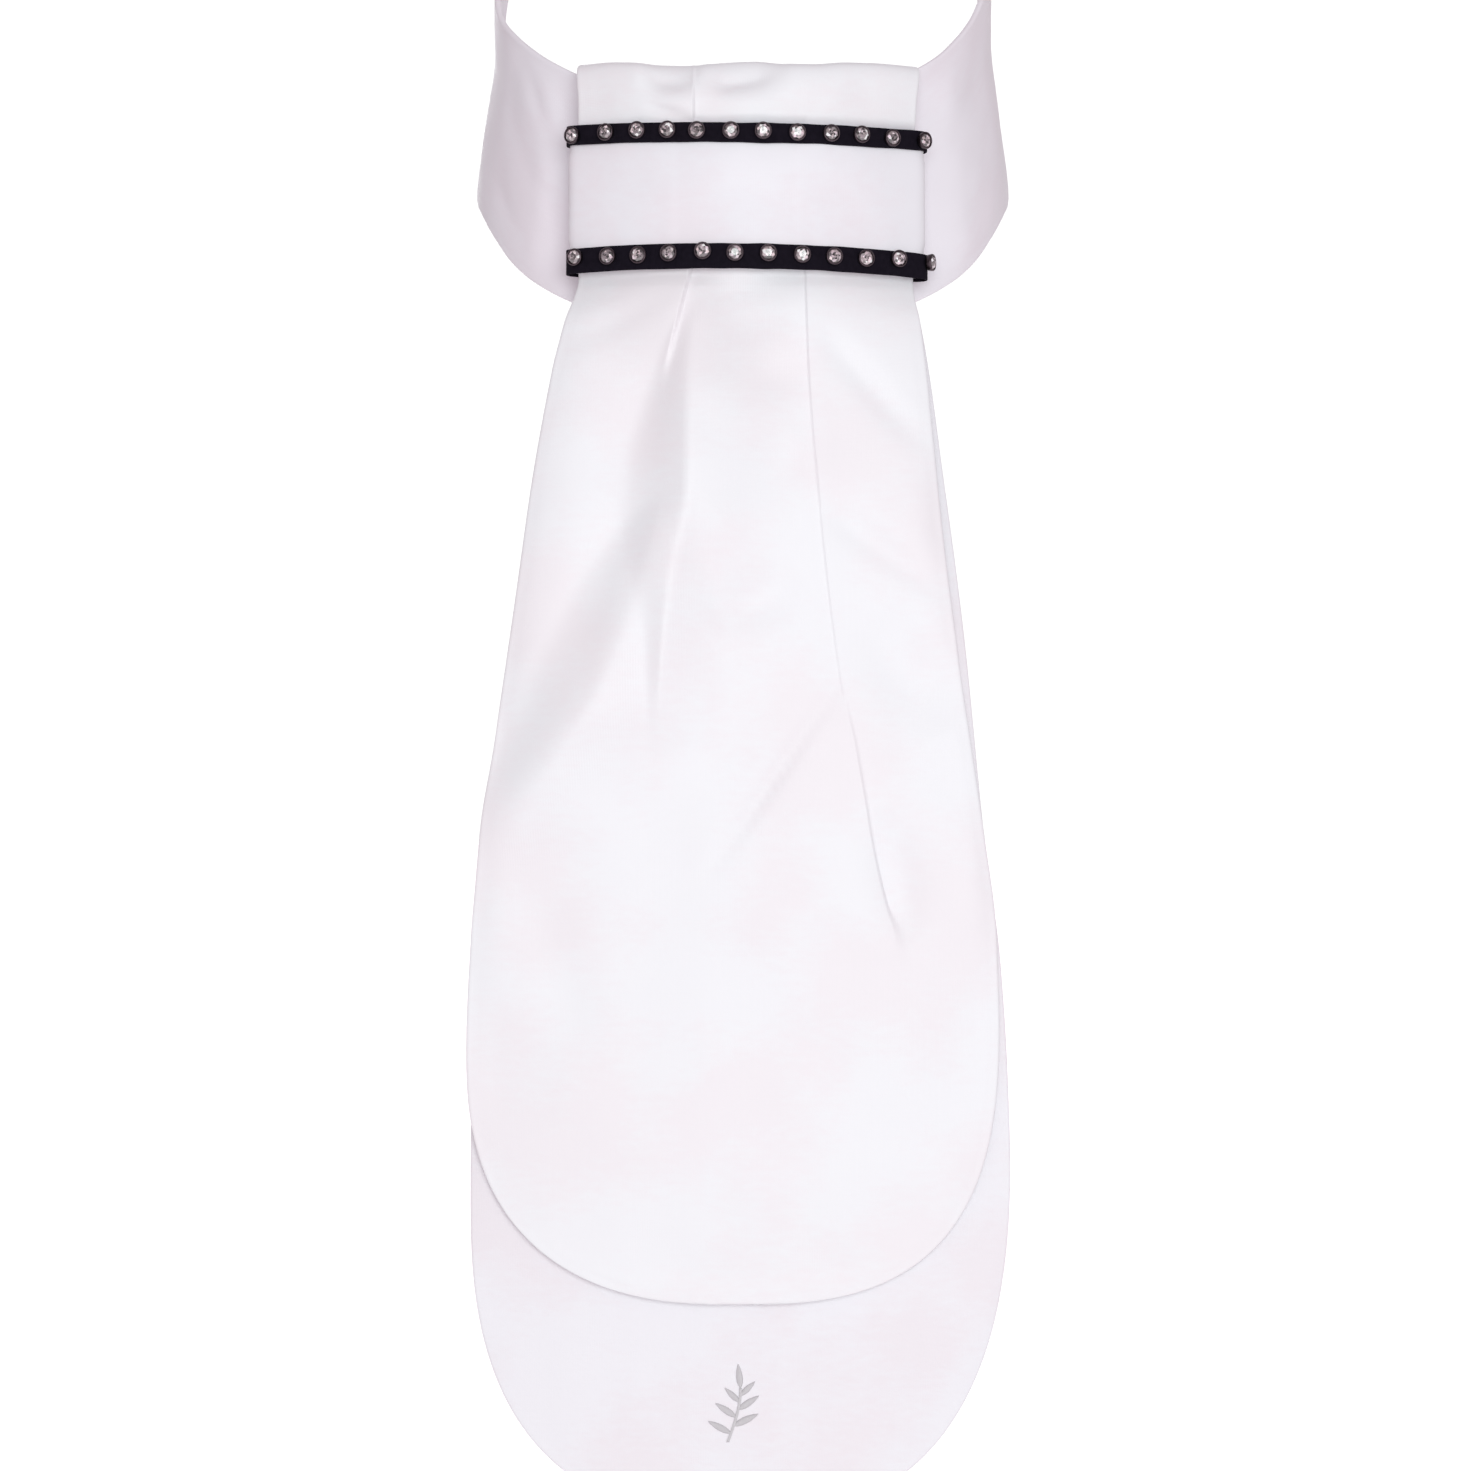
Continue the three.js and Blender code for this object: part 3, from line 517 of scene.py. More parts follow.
def tail_heights(top, hem, apart):
    """Row heights: even down to the round end, then closer together towards its foot"""
    start = max(hem["left"], hem["right"])
    straight = np.linspace(top, start, int((top - start) / apart))
    steps = int((start - hem["foot"]) * TURN_DENSER / apart)
    turn = np.radians(np.linspace(0, LAST_TURN, steps))[1:]
    return np.concatenate([straight, start + (hem["foot"] - start) * np.sin(turn)])[:, None]


def edge_distance(x, z):
    """Distance of each point of a flat grid from its nearest edge point"""
    edges = [(x[:, 0], z[:, 0]), (x[:, -1], z[:, -1]), (x[-1], z[-1]), (x[0], z[0])]
    nearest = np.full(x.shape, np.inf)
    for side_x, side_z in edges:
        for start in range(0, len(side_x), POINTS_AT_ONCE):
            part = slice(start, start + POINTS_AT_ONCE)
            away = np.hypot(x[..., None] - side_x[part], z[..., None] - side_z[part])
            nearest = np.minimum(nearest, away.min(-1))
    return nearest


def sewn_half(rim):
    """Half the thickness of a tail, rounded at the edge and pinched where it is sewn"""
    pinch = SEWN_DEPTH * ridge(rim, SEWN_IN, SEWN_WIDTH)
    return CLOTH / 2 * rounded(rim, CLOTH_ROLL, CLOTH_ROLLED) - pinch


z = tail_heights(BACK_TAIL["z"][0], BACK_HEM, BACK_ROWS_APART)
left, right = (read(BACK_TAIL, side, z) for side in ("left", "right"))
across = end_steps(BACK_WIDTH, CLOTH_ROLL, BACK_COLUMNS)[None, :] / BACK_WIDTH
z, across = np.broadcast_arrays(z, across)
x = draw_in(blend(left, right, across), z, BACK_HEM)
rim = edge_distance(x, z)
pucker = waves(x, z, PUCKER_SIZE, BACK_PUCKER_SEED) * np.exp(-rim / PUCKER_REACH)
relief = uneven(x, z, BACK_LUMPS) + BACK_PUCKER * pucker
relief = relief * smooth(BACK_STILL, BACK_FREE, z) * smooth(0, 3, rim) - BACK_SUNK
half = sewn_half(rim)
under_tail = sheet_piece(
    "under_tail",
    hang_point(x, z, BACK_LEVEL, relief + half),
    hang_point(x, z, BACK_LEVEL, relief - half),
    x,
    z,
)
# Painted shade: the under tail's satin is tinted darker and pinker than the over tail's, for the
# shade it hangs in behind.
satin_colours = (0.873, 0.861, 0.9), (0.862, 0.817, 0.856)
satin = satin_material("under tail satin, painted shade tint", *satin_colours, streak=2.6, grain=0.5, roughness=0.5)
under_tail.data.materials.append(satin)
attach(under_tail, "root")
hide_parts("back_tail")


# Over tail
# The shorter tail, which hangs in front: satin sewn and turned like the other, pleated in
# three at the top, rolled over the edge of the band and let fall in soft folds.
INSIDE_LEVEL = -3.6
LEG_FOOT = -15  # the top of the tail is tucked down inside the band to here
INSIDE_FOOT = -3.2  # where its roll over the band starts, on the inside
ROLL_TOP, ROLL_LEVEL = 1.25, 0.4  # the highest line of the roll
KNOT_Z, KNOT_LEVEL = -8.5, 7.2  # the fullest line of the knot
ROLL_LEFT, ROLL_RIGHT = -38, 38
# How square the roll is across the knot, from 0 where it slopes away to 1 where its face stands
# up to the top, and how far its top edge is lifted or dips
KNOT_SHAPE = table(
    "x full lift",
    (-42, 0.9, 1.5),
    (-35, 1, 1.45),
    (-27, 0.9, 0.8),
    (-20, 0.15, 0.1),
    (-13, 0.1, -0.35),
    (-9, 0.3, 0),
    (-4, 0, 0.4),
    (4, 0.05, 0.8),
    (11, 0.6, 0.1),
    (17, 1, 0),
    (27, 0.9, 0.9),
    (38, 1, 1.35),
    (45, 1, 1.4),
)
SLOPED_POWER, SQUARE_POWER = 1.35, 3.8
KNOT_UNDER, EVEN_FROM = -16, -16.6  # rows lie closer above the first, evenly below the second
LEG_ROWS, ROLL_ROWS, KNOT_ROWS = 9, 33, 13
FRONT_TAIL = table(
    "z left left_pleat right_pleat right",
    (5, -41.3, -12.1, 16.6, 45.0),
    (-15, -41.3, -12.1, 16.6, 44.1),
    (-52, -41.2, -12.9, 16.2, 43.5),
    (-58, -42.3, -14, 16.3, 43.7),
    (-74, -45.7, -18.6, 17, 45),
    (-104, -51.6, -20, 19.4, 48.6),
    (-134, -56.4, -20.4, 22.3, 52.4),
    (-164, -61.1, -21, 26.9, 56.5),
    (-194, -65.4, -23, 32.2, 60.8),
    (-218, -67.8, -24, 37.8, 63.9),
    (-247, -69, -24.5, 37.5, 64.7),
)
# How far its middle stands out from the band: full in the knot, flat under the keeper, then
# a little fuller again as it falls
FRONT_LEVEL = table(
    "z level",
    (-8.5, 7.2),
    (-11.6, 7.1),
    (-13.2, 6.4),
    (-14.3, 5.3),
    (-15.4, 4.45),
    (-52, 4.45),
    (-55, 5.9),
    (-61, 7.2),
    (-72, 7.6),
    (-90, 7.5),
    (-120, 7.2),
    (-164, 6.4),
    (-218, 5.8),
    (-247, 5.6),
)
FRONT_HEM = {"foot": -310.2, "left": -247, "right": -235, "left_power": 2.5, "right_power": 2.9}
FRONT_ROWS_APART = 1.3
FRONT_LUMPS = [(1.1, 42, 11), (0.4, 17, 12)]
KNOT_LUMPS = [(0.6, 11, 14)]
FRONT_PUCKER, FRONT_PUCKER_SEED = 0.18, 13
FRONT_STILL, FRONT_FREE = -54, -90  # heights between which its unevenness sets in
# Each row of a fold gives its height, where its crest lies, how far it rises, how wide its
# flanks are, and how round its crest is, from 0 for a sharp one to 2
FOLDS = [
    [  # pressed edge of the left pleat
        (5, -12.1, 0.9, 24, 0.9, 2),
        (-13, -12.2, 1.1, 24, 0.9, 2),
        (-17, -12.2, 1.2, 24, 0.7, 2),
        (-48, -12.6, 1.6, 24, 0.7, 2),
        (-60, -15.2, 1.9, 20, 1, 2),
        (-70, -17.6, 1.5, 16, 1.6, 2),
        (-82, -20.4, 0, 12, 3, 2),
    ],
    [  # pressed edge of the right pleat
        (5, 16.6, 0.15, 1.9, 24, 2),
        (-13, 16.6, 0.35, 1.5, 24, 2),
        (-17, 16.6, 0.9, 0.7, 24, 2),
        (-48, 16.2, 0.8, 0.7, 24, 2),
        (-74, 17, 0.55, 0.7, 25, 2),
        (-114, 20.1, 0.45, 0.7, 26, 2),
        (-154, 25.1, 0.3, 0.8, 26, 2),
        (-166, 27.2, 0, 1, 26, 2),
    ],
    [  # hollow at the top of the middle panel
        (-51, -1, 0, 12, 16, 2),
        (-56, -1, -2.1, 12, 16, 2),
        (-63, -1, -2.8, 13, 17, 2),
        (-73, -1, -1.2, 14, 18, 2),
        (-83, -1, 0.7, 14, 18, 2),
        (-98, -1, 0, 14, 18, 2),
    ],
    [  # roll of the middle panel
        (-57, -9.5, 0, 4.5, 20, 2),
        (-65, -11, 2.2, 6.5, 21, 1.6),
        (-75, -12.2, 4.4, 9.5, 24, 1.3),
        (-86, -12.6, 6, 13, 27, 1),
        (-98, -12.4, 7, 17, 30, 0.8),
        (-111, -13.2, 7.2, 18, 31, 0.7),
        (-123, -15.4, 6, 14, 31, 0.7),
        (-137, -17.6, 4.1, 7.5, 31, 0.8),
        (-150, -19, 2.8, 5, 31, 1),
        (-163, -19.8, 1.2, 4, 30, 1.5),
        (-176, -20.2, 0, 4, 28, 2),
    ],
    [  # swell of the left panel
        (-55, -41, 0, 14, 20, 2),
        (-64, -43, 2.2, 14, 24, 2),
        (-76, -45, 3, 14, 25, 2),
        (-100, -47, 2.8, 14, 22, 2),
        (-130, -49, 2.3, 13, 18, 2),
        (-156, -53, 1.2, 10, 16, 2),
        (-172, -57, 0, 8, 14, 2),
    ],
    [  # fold that runs down to the left edge
        (-106, -18.4, 0, 5, 8, 2),
        (-118, -21, 2.4, 12, 12, 1.8),
        (-130, -24.4, 4.8, 17, 18, 1.7),
        (-145, -29, 6.8, 20, 26, 1.7),
        (-160, -35.6, 7.2, 21, 34, 1.7),
        (-174, -44.4, 5.8, 20, 40, 1.7),
        (-188, -53, 3.4, 19, 44, 1.8),
        (-210, -60, 0, 14, 46, 2),
    ],
    [  # foot of the right pleat
        (-152, 24.7, 0, 24, 1, 2),
        (-170, 28, 0.4, 25, 1, 2),
        (-195, 32.4, 0.9, 26, 1, 2),
        (-211, 36, 1.2, 26, 1.2, 2),
        (-218, 37.8, 0.8, 26, 3, 2),
        (-228, 37.8, 0, 26, 6, 2),
    ],
    [  # swell along the right edge
        (-55, 43, 0, 20, 14, 2),
        (-64, 44, 2, 24, 14, 2),
        (-78, 45, 2.7, 25, 14, 2),
        (-94, 45, 2.2, 22, 14, 2),
        (-114, 44, 1.6, 20, 13, 2),
        (-140, 48, 1, 18, 11, 2),
        (-165, 53, 0.8, 16, 9, 2),
        (-205, 57, 1.4, 17, 9, 2),
        (-236, 58, 0, 18, 9, 2),
    ],
]
# Faint creases: where each starts and ends, its width and its depth
FRONT_CREASES = table(
    "x z to_x to_z width depth",
    (20, -66, 44, -95, 3.4, 1),
    (20, -110, 49, -132, 4, 1),
    (34, -138, 50, -166, 9, 1.8),
    (35, -188, 41, -219, 6, 1.8),
    (-6, -140, 14, -128, 6.5, 1.4),
    (24, -155, -9, -204, 1.7, 1.1),
    (-45, -71, -15, -56, 3.4, 0.6),
    (-56, -196, -40, -244, 7, 0.7),
    (-4, -112, 14, -96, 7, 0.9),
    (-6, -84, 16, -76, 5, 0.7),
    (-24, -9.6, -13, -12.4, 1.5, 0.9),
    (-25, -2.2, -12, -3.4, 3.2, 2.1),
    (-10, -4, 11, -0.8, 3.4, 2.3),
    (22, -8, 40, -3, 3, 0.4),
)


def fold_rise(rows, x, z):
    rows = table("z x rise left right round", *rows)
    crest, rise = (read(rows, column, z) for column in ("x", "rise"))
    width = np.where(x < crest, read(rows, "left", z), read(rows, "right", z))
    away = np.clip(np.abs(x - crest) / width, 0, 1)
    return rise * (1 - away) ** 2 * (1 + read(rows, "round", z) * away)


leg_z = np.linspace(LEG_FOOT, INSIDE_FOOT, LEG_ROWS)[:-1]
turn = np.radians(np.linspace(0, 180, ROLL_ROWS))[:-1]
fall_z = tail_heights(KNOT_Z, FRONT_HEM, FRONT_ROWS_APART)[:, 0]
fall_z = fall_z[fall_z < EVEN_FROM]
fall_z = np.concatenate([np.linspace(KNOT_Z, KNOT_UNDER, KNOT_ROWS), fall_z])
inside = turn < math.pi / 2
span = np.where(inside, ROLL_LEVEL - INSIDE_LEVEL, KNOT_LEVEL - ROLL_LEVEL)
drop = np.where(inside, ROLL_TOP - INSIDE_FOOT, ROLL_TOP - KNOT_Z)
z = np.concatenate([leg_z, ROLL_TOP - drop * (1 - np.sin(turn)), fall_z])
leg, fall = np.ones(len(leg_z)), np.ones(len(fall_z))
roll_level, fall_level = ROLL_LEVEL - span * np.cos(turn), read(FRONT_LEVEL, "level", fall_z)
level = np.concatenate([INSIDE_LEVEL * leg, roll_level, fall_level])
way_out = np.concatenate([-leg, -np.cos(turn) / span, fall])
way_up = np.concatenate([0 * leg, np.sin(turn) / drop, 0 * fall])
way_length = np.hypot(way_out, way_up)
way_out, way_up = way_out / way_length, way_up / way_length
folded = np.concatenate([0 * leg, smooth(60, 180, np.degrees(turn)), fall])
row_values = [values[:, None] for values in (z, level, way_out, way_up, folded)]
z, level = row_values[:2]
left, left_pleat, right_pleat, right = (
    read(FRONT_TAIL, line, z) for line in ("left", "left_pleat", "right_pleat", "right")
)
widened = smooth(0.8, 3, level)
left, right = blend(ROLL_LEFT, left, widened), blend(ROLL_RIGHT, right, widened)
EDGE_STEPS = np.array([0, 0.1, 0.3, 0.55, 0.8, 1.2, 1.9])
CREST_STEPS = np.array([0, 0.12, 0.24, 0.38, 0.52, 0.7, 1.0, 1.5, 2.2, 3.2])
PANEL_COLUMNS = 26  # even columns between the close ones at its edges


def panel(start, end, first_steps, last_steps):
    """Columns across one panel, close together at its edges and even between them"""
    even = np.linspace(0, 1, PANEL_COLUMNS)[None, 1:-1]
    inner = blend(start + first_steps[-1], end - last_steps[-1], even)
    parts = [start + first_steps[None, :], inner, end - last_steps[None, ::-1]]
    return np.concatenate(parts, axis=1)


columns = [
    panel(left, left_pleat, EDGE_STEPS, CREST_STEPS),
    panel(left_pleat, right_pleat, CREST_STEPS, CREST_STEPS)[:, 1:],
    panel(right_pleat, right, CREST_STEPS, EDGE_STEPS)[:, 1:],
]
x = draw_in(np.concatenate(columns, axis=1), z, FRONT_HEM)
z, level, way_out, way_up, folded = (np.broadcast_to(row, x.shape) for row in row_values)
run = np.concatenate([[0], np.cumsum(np.hypot(np.diff(level[:, 0]), np.diff(z[:, 0])))])
v = -np.broadcast_to(run[:, None], x.shape)
rim = edge_distance(x, v)
relief = sum(fold_rise(rows, x, z) for rows in FOLDS)
for from_x, from_z, to_x, to_z, width, depth in zip(*FRONT_CREASES.values()):
    relief = relief - depth * crease(x, z, (from_x, from_z), (to_x, to_z), width)
free = smooth(FRONT_STILL, FRONT_FREE, z)
relief = relief + uneven(x, z, FRONT_LUMPS) * smooth(0, 8, rim) * free
relief = relief + uneven(x, z, KNOT_LUMPS) * smooth(0, 6, rim) * smooth(-13.4, -8, z)
pucker = FRONT_PUCKER * waves(x, v, PUCKER_SIZE, FRONT_PUCKER_SEED) * np.exp(-rim / PUCKER_REACH)
relief = relief + pucker * smooth(0, 1.5, rim) * free
half = sewn_half(rim)
full, raised_edge = (read(KNOT_SHAPE, column, x) for column in ("full", "lift"))
on_roll = (z > KNOT_Z) & (level > ROLL_LEVEL)
power = blend(SLOPED_POWER, SQUARE_POWER, full)
out_share = np.clip((level - ROLL_LEVEL) / (KNOT_LEVEL - ROLL_LEVEL), 0, 1)
up_share = np.clip((z - KNOT_Z) / (ROLL_TOP - KNOT_Z), 0, 1)
corner = (out_share ** power + up_share ** power) ** (-1 / power)
out_fuller = np.where(on_roll, out_share * (corner - 1), 0) * (KNOT_LEVEL - ROLL_LEVEL)
up_fuller = np.where(on_roll, up_share * (corner - 1), 0) * (ROLL_TOP - KNOT_Z)
up_fuller = up_fuller + raised_edge * smooth(-13, 0, z) * smooth(-3, 0, level)


def over_point(lift):
    points = hang_point(x, z, level, lift * way_out + out_fuller)
    points[..., 2] += lift * way_up + up_fuller
    return points


relief = relief * folded
over_tail = sheet_piece("over_tail", over_point(relief + half), over_point(relief - half), x, v)
satin_colours = (0.89, 0.889, 0.917), (0.888, 0.85, 0.882)
satin = satin_material("over tail satin", *satin_colours, streak=2.4, grain=0.16, roughness=0.5)
over_tail.data.materials.append(satin)
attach(over_tail, "root")
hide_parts("front_tail")


# Keeper
# A flat sleeve of the same satin, pressed with turned edges and closed behind, which holds
# both tails together in front of the band.
KEEPER_CLOTH, KEEPER_ROLL = 1.2, 0.6
KEEPER_TOP, KEEPER_FOOT = -14.2, -50.3
KEEPER_SPREAD = 67.2  # half width of its curve in plan
KEEPER_LINES = table(  # how its lines fall to the right and droop at their ends
    "z fall droop",
    (KEEPER_TOP, 0.0134, -0.00023),
    (KEEPER_FOOT, 0.0105, 0.00033),
)
KEEPER_LEFT, KEEPER_RIGHT = -33.4, 36.2  # degrees where the sleeve turns back
KEEPER_BACK_LEVEL, KEEPER_FRONT_LEVEL = 1.1, 7.85
BUNDLE_RADIUS = 70
TURN_MIDDLE = (KEEPER_FRONT_LEVEL + KEEPER_BACK_LEVEL) / 2
TURN_RADIUS = (KEEPER_FRONT_LEVEL - KEEPER_BACK_LEVEL) / 2
DEGREES_FOR_MM = 1 / math.radians(BUNDLE_RADIUS)
KEEPER_TURN, KEEPER_FRONT, KEEPER_BEHIND, KEEPER_UP = 16, 100, 58, 30  # columns and rows
KEEPER_MIDDLE = 58  # the column that distances along it are measured from
KEEPER_LUMPS = [(0.34, 15, 21), (0.07, 5, 22)]
PLEATS_SHOW = [(-11.5, -14), (17.5, 19)]  # from where to where it rises over each pleat
PLEATS_LIFT, BETWEEN_PLEATS = 0.14, 0.1
SWELL, SWELL_TOP, SWELL_FOOT = 0.8, -20.3, -43.8  # of its turned ends between the ribbons


def sleeve_point(angle, level, z):
    x = (KEEPER_SPREAD + level) * np.sin(np.radians(angle))
    points = hang_point(x, z, level, 0)
    fall, droop = (read(KEEPER_LINES, column, z) for column in ("fall", "droop"))
    points[..., 2] -= fall * x + droop * x * x
    return points


def sleeve_front(extra, turn_to, turn_steps, front_steps):
    """Angles and levels of the way along the sleeve's front, turned behind at both ends"""
    turn = np.radians(np.linspace(turn_to, 0, turn_steps))
    past = (TURN_RADIUS + extra) * np.sin(turn) * DEGREES_FOR_MM
    turned = TURN_MIDDLE + (TURN_RADIUS + extra) * np.cos(turn)
    middle = np.linspace(KEEPER_LEFT, KEEPER_RIGHT, front_steps)[1:-1]
    angle = np.concatenate([KEEPER_LEFT - past, middle, (KEEPER_RIGHT + past)[::-1]])
    front = np.full(len(middle), TURN_MIDDLE + TURN_RADIUS + extra)
    return angle, np.concatenate([turned, front, turned[::-1]])


def sleeve_loop(extra):
    """Angles and levels of the whole way round the sleeve, closed behind the bundle"""
    angle, level = sleeve_front(extra, 180, KEEPER_TURN, KEEPER_FRONT)
    behind = np.linspace(KEEPER_RIGHT, KEEPER_LEFT, KEEPER_BEHIND + 2)[1:-1]
    level = np.append(level, np.full(KEEPER_BEHIND, KEEPER_BACK_LEVEL - extra))
    return np.append(angle, behind), level


def path_length(angle, level):
    points = sleeve_point(angle, level, KEEPER_TOP)
    return np.append(0, np.cumsum(np.linalg.norm(np.diff(points, axis=0), axis=1)))


angle, level = sleeve_loop(0)
run = path_length(angle, level)
z = KEEPER_TOP - end_steps(KEEPER_TOP - KEEPER_FOOT, KEEPER_ROLL, KEEPER_UP)[:, None]
rim = np.minimum(KEEPER_TOP - z, z - KEEPER_FOOT)
u, v = np.broadcast_arrays(run[None, :] - run[KEEPER_MIDDLE], z)
facing = (level[None, :] - TURN_MIDDLE) / TURN_RADIUS  # 1 in front, -1 behind
pleats_below = PLEATS_LIFT * sum(smooth(*shows, u) for shows in PLEATS_SHOW) - BETWEEN_PLEATS
relief = uneven(u, v, KEEPER_LUMPS) + pleats_below
relief = relief * smooth(0.6, 1, facing) * smooth(0, 4, rim)
between = smooth(0, 2, SWELL_TOP - z) * smooth(0, 2, z - SWELL_FOOT)
relief = relief + SWELL * between * np.clip(1 - facing ** 2, 0, 1)
half = KEEPER_CLOTH / 2 * rounded(rim, KEEPER_ROLL, CLOTH_ROLLED)
sides = []
for side in (1, -1):
    angles, levels = sleeve_loop(side * KEEPER_CLOTH / 2)
    outward = np.where(np.arange(len(levels)) < len(levels) - KEEPER_BEHIND, 1, -1)
    inset = side * (half - KEEPER_CLOTH / 2) + relief * (side > 0)
    sides.append(sleeve_point(angles[None, :], levels[None, :] + inset * outward, z))
keeper = sheet_piece("keeper_sleeve", sides[0], sides[1], u, v, closed=True)
# Painted shade: the keeper's satin is darker and pinker than the over tail's, for the shade on the
# keeper.
satin_colours = (0.86, 0.845, 0.89), (0.852, 0.801, 0.848)
satin = satin_material("keeper satin, painted shade tint", *satin_colours, streak=1.6, grain=0.2, roughness=0.46)
keeper.data.materials.append(satin)
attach(keeper, "root")
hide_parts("keeper")


# Ribbons
# Two narrow matt black ribbons glued along the upper and lower edges of the keeper, with
# their ends turned behind it.
RIBBON_THICK, RIBBON_ROLL, RIBBON_ROLLED = 0.6, 0.3, 0.35
RIBBON_TURNS_TO = 125
GLUE = 0.3
RIBBON_OFF = KEEPER_CLOTH / 2 + GLUE + RIBBON_THICK / 2
RIBBON_TURN, RIBBON_FRONT, RIBBON_UP = 14, 130, 9  # columns and rows
RIPPLE, SWAY = 0.16, 0.12  # how far its edges ripple against each other, and together
SELVEDGE = 0.05  # how far the woven edge stands up
RIBBONS = {"upper": (-14.3, 5.0), "lower": (-44.75, 6.35)}  # top and height
ribbon_black, nodes, links, surface = shader("matt black ribbon", 0.9, Specular_IOR_Level=0.05)
place = cloth_place(nodes)
lint = texture(place, "TexNoise", Scale=700, Detail=3)
ramp = node(nodes, "ValToRGB")
dark, grey = ramp.color_ramp.elements
dark.color, grey.color = (0.004, 0.003, 0.006, 1), (0.013, 0.01, 0.017, 1)
links.new(lint.outputs["Fac"], ramp.inputs["Fac"])
links.new(ramp.outputs["Color"], surface.inputs["Base Color"])
ribs = texture(place, "TexWave", bands_direction="X", Scale=420, Distortion=0.4)
bump_from(ribs.outputs["Fac"], surface, 0.5, 0.00006)


def ribbon_way(off):
    """Angles and levels along a ribbon at this distance from the middle of the sleeve's cloth"""
    return sleeve_front(off, RIBBON_TURNS_TO, RIBBON_TURN, RIBBON_FRONT)


for number, (name, (top, height)) in enumerate(RIBBONS.items()):
    run = path_length(*ribbon_way(RIBBON_OFF))[None, :]
    down = end_steps(height, RIBBON_ROLL, RIBBON_UP)[:, None]
    ripple = RIPPLE * waves(run, down * 0 + number, 7, 31)
    sway = SWAY * waves(run, down * 0, 16, 32 + number)
    z = top - down + ripple * (1 - 2 * down / height) + sway
    from_edge = np.minimum(down, height - down)
    rim = np.minimum(from_edge, np.minimum(run, run.max() - run) + 0.12)
    half = RIBBON_THICK / 2 * rounded(rim, RIBBON_ROLL, RIBBON_ROLLED)
    selvedge = SELVEDGE * ridge(from_edge, 0.5, 0.25)
    sides = []
    for side in (1, -1):
        angles, levels = ribbon_way(RIBBON_OFF + side * RIBBON_THICK / 2)
        inset = side * (half - RIBBON_THICK / 2) + selvedge * (side > 0)
        sides.append(sleeve_point(angles[None, :], levels[None, :] + inset, z))
    u, v = np.broadcast_arrays(run, down)
    strip = sheet_piece(f"ribbon_strip_{name}", sides[0], sides[1], u, v)
    strip.data.materials.append(ribbon_black)
    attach(strip, "root")
    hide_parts(f"ribbon_{name}")


# Cups and crystals
# Twelve foil-backed crystals stand along each ribbon, each in a round cup of grey metal
# whose rim is turned in over the edge of the stone.
# The stones are opaque: their sparkle is painted, each facet carrying a glint or a dark reflection
# in its colour.
STONES_EACH = 12
CUP_SIDES = 36
CUP_PROFILE = np.array([  # radius and height, from the foot round the rim to the floor
    (0, 0), (1.9, 0), (2.0, 0.06), (2.08, 0.5), (2.18, 1.0), (2.2, 1.2), (2.15, 1.38), (2.03, 1.5),
    (1.9, 1.53), (1.81, 1.47), (1.77, 1.3), (1.75, 0.9), (1.4, 0.4), (0, 0.3),
])
STONE_RADIUS = 1.71
TABLE_RADIUS, TABLE_HEIGHT = 0.56, 1.83  # radii are shares of the stone's
STAR_RADIUS, STAR_HEIGHT = 0.79, 1.56
GIRDLE_TOP, GIRDLE_FOOT = 1.27, 1.12
HEART_RADIUS = 0.24  # meeting of the back facets seen through the table, drawn flat on it for painted reflections
CULET = 0.6
# Painted reflections: each facet's base colour stands in for a glint or a dark reflection of the
# foil behind it.
PAINTED_GLINT_TONES = np.array([0.04, 0.12, 0.25, 0.42, 0.65, 0.95])
PAINTED_GLINT_SHARES = np.array([0.14, 0.18, 0.2, 0.2, 0.16, 0.12])
FACET_GROUPS = [0, 1, 1, 1, 2, 3, 4, 4]  # facets of one eighth of a stone that share one painted glint
GROUP_GLINT_TONES = np.array([0.5, 0.75, 1.15, 1.15, 0.7])
HIDDEN_FACETS, HIDDEN_GLINT_TONE = 32, 0.1
STONE_GLINT_RANGE = (0.8, 1.35)  # how much darker or brighter the painted glints of a whole stone may be
GLINT_TINT, GLINT_TINTS = np.array([1, 0.82, 0.87]), (0.94, 1.02)
BRIGHTEST_GLINT = 0.97


def ring(count, radius, height, shift=0):
    turn = (np.arange(count) + shift) / count * 2 * math.pi
    return np.stack([radius * np.cos(turn), radius * np.sin(turn), np.full(count, height)], -1)


def spun(profile, sides):
    """Points and faces of a profile turned about the third axis"""
    points = np.concatenate([ring(sides, radius, height) for radius, height in profile])
    i = np.arange(sides)
    after = (i + 1) % sides
    rows = np.arange(len(profile) - 1)[:, None] * sides
    faces = np.stack([rows + i, rows + after, rows + sides + after, rows + sides + i], -1)
    return points, faces.reshape(-1, 4).tolist()


